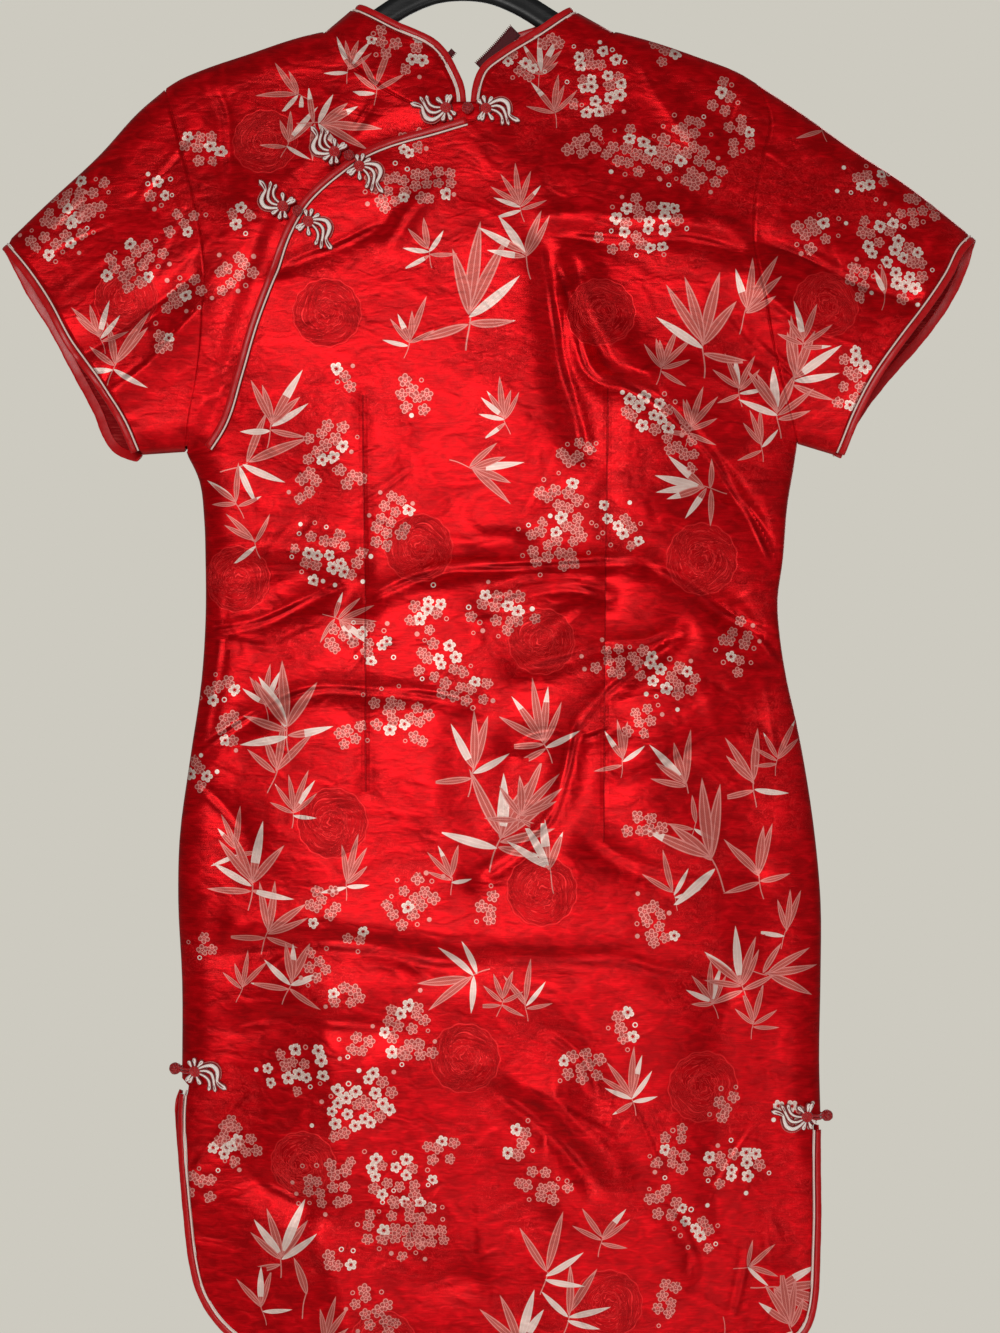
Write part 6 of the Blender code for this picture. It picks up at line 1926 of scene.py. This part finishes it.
GROUPS = {'fan': fan_group(), 'bloom': bloom_group(), 'medal': medal_group()}
DARTS = [(-75, -73, -404, -704), (110, 107, -398, -742)]
BLOOM_L, FAN_L = ('bloom_a', 'bloom_b'), ('fan_a', 'fan_b')
MATS['satin'] = satin('red_brocade')
MATS['satin_m'] = satin('red_brocade_medallion', ('medal',))
MATS['satin_b'] = satin('red_brocade_blossom', BLOOM_L)
MATS['satin_f'] = satin('red_brocade_bamboo', FAN_L)
MATS['satin_a'] = satin('red_brocade_both', FAN_L + BLOOM_L)
MATS['satin_z'] = satin('red_brocade_all', ('medal',) + FAN_L + BLOOM_L)
MATS['reverse'] = satin('red_brocade_reverse', inside=True)
MATS['binding'] = cord_material('satin_binding', srgb(200, 4, 14), srgb(160, 0, 8), 0.32, 9.0, 0.12, 0.35, 0.1)
MATS['piping'] = cord_material('white_piping', srgb(252, 224, 214), srgb(234, 184, 174), 0.45, 6.0, 0.25, 0.4, 0.2)
MATS['cord_white'] = cord_material('frog_white', srgb(255, 244, 238), srgb(240, 206, 196), 0.45, 3.6, 0.5, 0.45, 0.3)
MATS['cord_dark'] = cord_material('frog_dark_red', srgb(150, 4, 12), srgb(96, 0, 6), 0.5, 3.6, 0.5, 0.4, 0.3)
MATS['cord_red'] = cord_material('frog_red', srgb(206, 10, 18), srgb(140, 0, 8), 0.45, 3.6, 0.5, 0.5, 0.3)
MATS['cord_pink'] = cord_material('frog_pink', srgb(214, 110, 104), srgb(170, 50, 52), 0.45, 3.6, 0.5, 0.4, 0.3)
MATS['cord_knot'] = cord_material('knot_red', srgb(176, 6, 14), srgb(110, 0, 6), 0.45, 3.6, 0.5, 0.5, 0.3)
MATS['tape'] = tape_material()
MATS['teeth'] = metal_material('zip_coil', srgb(124, 18, 28), 0.42, 0.0, (2.0, 2.0, 6.0))
MATS['metal'] = metal_material('zip_enamel', srgb(134, 22, 30), 0.34, 0.35, (3.0, 1.0, 0.4))
MATS['hanger'] = plastic_material()
MATS['hook'] = metal_material('hook_steel', (0.62, 0.62, 0.64), 0.28, 1.0, (0.4, 3.0, 0.4))


# ======================= build =======================
fm, fs = front_rows(), shoulder_rows()
bl, br = back_rows('L'), back_rows('R')


def outer_count(rows, cols, closed=False):
    return (rows - 1) * (cols if closed else cols - 1)


def ride(ob, node, body='dress'):
    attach(ob, body)
    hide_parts(*([node] if isinstance(node, str) else node))
    return ob


PIECES = {}
NC = 124
cols_f = columns(NC, True, True)
PIECES['front_main'], P, V, N = panel('cloth_front_main', fm, cols_f, 'front', ['satin', 'reverse'])
brocade(PIECES['front_main'], P, 'front', outer_count(len(fm), NC))
nc = int(NC * 0.55)
PIECES['front_shoulder'], P, V, N = panel('cloth_front_shoulder', fs, columns(nc, True, False), 'front',
                                          ['satin', 'reverse'], inset=under_inset)
brocade(PIECES['front_shoulder'], P, 'front', outer_count(len(fs), nc))
nc = int(NC * 0.52)
cols_bl, cols_br = columns(nc, True, False), columns(nc, False, True)
for name, rows, cc in (('back_left', bl, cols_bl), ('back_right', br, cols_br)):
    PIECES[name], P, V, N = panel('cloth_' + name, rows, cc, 'back', ['satin', 'reverse'])
    brocade(PIECES[name], P, 'back', outer_count(len(rows), nc))

cuffs = {}
for which, name, fr, bk in (('L', 'sleeve_left', fs, bl), ('R', 'sleeve_right', fm, br)):
    rings = sleeve_grid(which, fr, bk, 40)
    P, V, N, S = ring_points(rings)
    n = len(rings[0])
    wall = np.full(len(V), WALL)
    ob = shell('cloth_' + name, V, N, len(rings), n, ['satin', 'reverse'], flip=(which == 'L'), closed=True)
    F = grid_faces(len(rings), n, which == 'L', True)
    face_side = np.array(['back' if sum(S[i] == 'back' for i in f) >= 2 else 'front' for f in F])
    brocade(ob, P, face_side, len(F))
    PIECES[name] = ob
    ring = rings[-1]
    low = [i for i in range(n) if ring[i][1] == 'fold']
    low = min(low, key=lambda i: ring[i][0][1])
    cuffs[which] = [ring[(low + k) % n] for k in range(1, n)]

tops = {}
for which, name, fr, bk in (('L', 'collar_left', fs, bl), ('R', 'collar_right', fm, br)):
    ob, P, V, N, S, tops[which] = collar('cloth_' + name, which, fr, bk, ['satin', 'reverse'])
    F = grid_faces(len(P) // 14, 14, which == 'R')
    face_side = np.array(['back' if sum(S[i] == 'back' for i in f) >= 2 else 'front' for f in F])
    brocade(ob, P, face_side, len(F))
    PIECES[name] = ob

for name, ob in PIECES.items():
    ride(ob, name)

# a small facing behind the neck point, where the collar ends and the opening meet
xs, zs = np.linspace(-9, 15, 13), np.linspace(-180, -202, 12)
FP = np.array([(x, z) for z in zs for x in xs])
V, N = place(FP, 'front', 0.0, 1.3, normals=True)
facing = shell('cloth_neck_facing', V, N, len(zs), len(xs), ['satin', 'reverse'])
brocade(facing, FP, 'front', outer_count(len(zs), len(xs)))
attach(facing, 'dress')

# narrow turnings just behind the armhole and neck seams, so the joins read as stitched cloth
TURN = {}
for key, seams in (('L', (('arm', 'front', ARMHOLE['L']), ('arm', 'back', ARMHOLE['L']))),
                   ('R', (('arm', 'front', ARMHOLE['R']), ('arm', 'back', ARMHOLE['R']))),
                   ('NL', (('neck', 'front', NECKLINE['L']), ('neck', 'back', NECKLINE['LB']))),
                   ('NR', (('neck', 'front', NECKLINE['R']), ('neck', 'back', NECKLINE['RB'])))):
    TURN[key] = []
    for seam, side, path in seams:
        line = np.array([tuple(p) for p in resample(path, 150)], float)[3:-2]
        d = np.gradient(line, axis=0)
        d /= np.linalg.norm(d, axis=1)[:, None]
        across = np.stack([-d[:, 1], d[:, 0]], 1)
        P = (line[:, None, :] + across[:, None, :] * np.array([-1.6, -0.8, 0.0, 0.8, 1.6])[None, :, None]).reshape(-1, 2)
        V, N = place(P, side, -0.4, normals=True)
        ob = shell('cloth_turning_%s_%s_%s' % (seam, side, 'left' if key[-1] == 'L' else 'right'), V, N, len(line), 5,
                   ['satin', 'reverse'], wall=0.4)
        brocade(ob, P, side, outer_count(len(line), 5))
        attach(ob, 'dress')
        TURN[key].append(ob)

# trims
TRIM = {}
opening = [(r[0], 'front') for r in fm if -198 > r[0][1] > -446]
TRIM['opening'] = trim_pair('opening', opening, out_sign=-1)
TRIM['collar_left'] = trim_pair('collar_left', tops['L'], centre=(-90, -200), fold_dir=(0.74, 0.68), lean=True)
TRIM['collar_right'] = trim_pair('collar_right', tops['R'], centre=(100, -200), fold_dir=(-0.83, 0.56), lean=True)
TRIM['cuff_left'] = trim_pair('cuff_left', cuffs['L'], centre=(-150, -330), fold_dir=(-0.72, -0.70))
TRIM['cuff_right'] = trim_pair('cuff_right', cuffs['R'], centre=(180, -330), fold_dir=(0.79, -0.61))
for side, rows, cc in (('front', [fm], [cols_f]), ('back', [bl, br], [cols_bl, cols_br])):
    left, right = rows[0], rows[-1]
    lp = [r[0] for r in left if r[0][1] <= SLIT_L - 9]
    rp = [r[1] for r in right if r[1][1] <= SLIT_R - 7]
    bottom = []
    for rr, c in zip(rows, cc):
        bottom += [rr[-1][0].lerp(rr[-1][1], t) for t in c]
    bottom = [p for p in bottom[1:-1]]
    path = lp + bottom + list(reversed(rp))
    clean = [path[0]]
    for p in path[1:]:
        if (p - clean[-1]).length > 0.8:
            clean.append(p)
    TRIM['hem_' + side] = trim_pair('hem_' + side, [(p, side) for p in clean], out_sign=-1)
for tag, (pipe, bind) in TRIM.items():
    pipe.name = 'edge_piping_' + tag
    bind.name = 'edge_binding_' + tag
    ride(pipe, 'piping_' + tag)
    ride(bind, 'binding_' + tag)

FROG = {}
for f in FROGS:
    ob = frog(*f)
    ob.name = 'fastening_' + f[0]
    FROG[f[0]] = ride(ob, 'frog_' + f[0])
for k in KNOTS:
    ob = knot(*k)
    ob.name = 'fastening_' + k[0]
    FROG[k[0]] = ride(ob, 'frog_' + k[0])

TAPE = {}
for which, rows, name in (('L', bl, 'left'), ('R', br, 'right')):
    tape, coil = zip_tape(which, rows)
    tape.name = 'tape_' + name
    ride(tape, 'zip_tape_' + name)
    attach(coil, 'dress')
    TAPE[name] = (tape, coil)
slider, pull = slider_and_pull()
ride(slider, 'zip_slider')
ride(pull, 'zip_pull', 'pull_tab')
arms, hook = hanger()
ride(arms, 'hanger_body')
ride(hook, 'hanger_hook')

# ======================= the cloth as cut =======================
T = TRIM
CUT = {
    'front_main': ((0.52, 1.03), [facing] + list(T['opening']) + list(T['hem_front']) +
                   [FROG[n] for n in ('chest1_right', 'chest2_right', 'chest1_knot', 'chest2_knot', 'slitleft_front', 'slitright_front')]),
    'front_shoulder': ((0.22, 0.37), [FROG['chest1_left'], FROG['chest2_left']]),
    'back_left': ((0.27, 1.03), [TAPE['left'][0], TAPE['left'][1]] + list(T['hem_back']) + [FROG['slitleft_back'], FROG['slitleft_knot'], slider]),
    'back_right': ((0.28, 1.03), [TAPE['right'][0], TAPE['right'][1], FROG['slitright_back'], FROG['slitright_knot']]),
    'sleeve_left': ((0.44, 0.16), TURN['L'] + list(T['cuff_left'])),
    'sleeve_right': ((0.44, 0.18), TURN['R'] + list(T['cuff_right'])),
    'collar_left': ((0.20, 0.06), TURN['NL'] + list(T['collar_left']) + [FROG['collar_left'], FROG['collar_knot']]),
    'collar_right': ((0.17, 0.06), TURN['NR'] + list(T['collar_right']) + [FROG['collar_right']]),
}


def outer_area(ob):
    me = ob.data
    a = np.empty(len(me.polygons))
    me.polygons.foreach_get('area', a)
    m = np.empty(len(me.polygons), np.int32)
    me.polygons.foreach_get('material_index', m)
    return float(a[m == 1].sum())


for name, (flat, extra) in CUT.items():
    a = outer_area(PIECES[name])
    print('cut', name, flat, 'area', round(a, 4), 'share', round(a / (flat[0] * flat[1]), 3), 'tris',
          sum(len(p.vertices) - 2 for p in PIECES[name].data.polygons))

# ======================= camera, floor, light =======================
cam_data = bpy.data.cameras.new('camera')
cam_data.lens = 55.0
cam_data.sensor_width = 36.0
cam = bpy.data.objects.new('camera', cam_data)
cam.location = (0.0285, -(0.5127 * 55.0 / 18.0), -0.6088)
cam.rotation_euler = (math.radians(90), 0, 0)
cam_data.clip_end = 60.0
col.objects.link(cam)
bpy.context.scene.camera = cam

world = bpy.data.worlds.new('studio')
world.use_nodes = True
bg = world.node_tree.nodes['Background']
bg.inputs[0].default_value = (*srgb(205, 202, 192), 1)
bg.inputs[1].default_value = 1.0
# the backdrop keeps its pale tone while lighting the dress more softly
dim = world.node_tree.nodes.new('ShaderNodeBackground')
dim.inputs[0].default_value = (*srgb(200, 203, 198), 1)
dim.inputs[1].default_value = 0.22
seen = world.node_tree.nodes.new('ShaderNodeLightPath')
both = world.node_tree.nodes.new('ShaderNodeMixShader')
links = world.node_tree.links
links.new(seen.outputs['Is Camera Ray'], both.inputs[0])
links.new(dim.outputs[0], both.inputs[1])
links.new(bg.outputs[0], both.inputs[2])
links.new(both.outputs[0], world.node_tree.nodes['World Output'].inputs[0])
bpy.context.scene.world = world
bpy.context.scene.view_settings.view_transform = 'Standard'

bm = bmesh.new()
bmesh.ops.create_grid(bm, x_segments=8, y_segments=8, size=1.5)
me = bpy.data.meshes.new('floor')
bm.to_mesh(me)
bm.free()
floor = bpy.data.objects.new('floor', me)
floor.location = (0.03, 0.0, -1.75)
fmat, fg, fb = new_material('floor_pale')
fn = fg.noise(fg.node('ShaderNodeTexCoord', out=3), 3.0, 3.0)
fg.put(fg.ramp(fn, [(0.3, srgb(232, 231, 224)), (0.7, srgb(240, 239, 233))]), fb.inputs['Base Color'])
fb.inputs['Roughness'].default_value = 0.8
me.materials.append(fmat)
col.objects.link(floor)


def area(name, at, aim, size, power, colour=(1, 1, 1), size_y=None):
    d = bpy.data.lights.new(name, 'AREA')
    d.shape = 'RECTANGLE' if size_y else 'SQUARE'
    d.size = size
    if size_y:
        d.size_y = size_y
    d.energy = power
    d.color = colour
    ob = bpy.data.objects.new(name, d)
    ob.location = at
    ob.rotation_euler = (Vector(aim) - Vector(at)).to_track_quat('-Z', 'Y').to_euler()
    col.objects.link(ob)
    return ob


area('key', (-0.38, -2.6, -0.28), (0.03, 0, -0.62), 0.6, 30.5, (1.0, 0.985, 0.96), 1.0)
area('fill', (1.9, -1.6, -0.45), (0.05, 0, -0.65), 1.2, 2.4, (0.97, 0.99, 1.0), 1.6)
area('low', (0.5, -2.0, -1.55), (0.03, 0, -0.85), 0.5, 5.6, (1, 1, 1))
area('behind', (0.3, 2.0, 0.1), (0.03, 0, -0.6), 1.6, 20.0, (1, 1, 1))
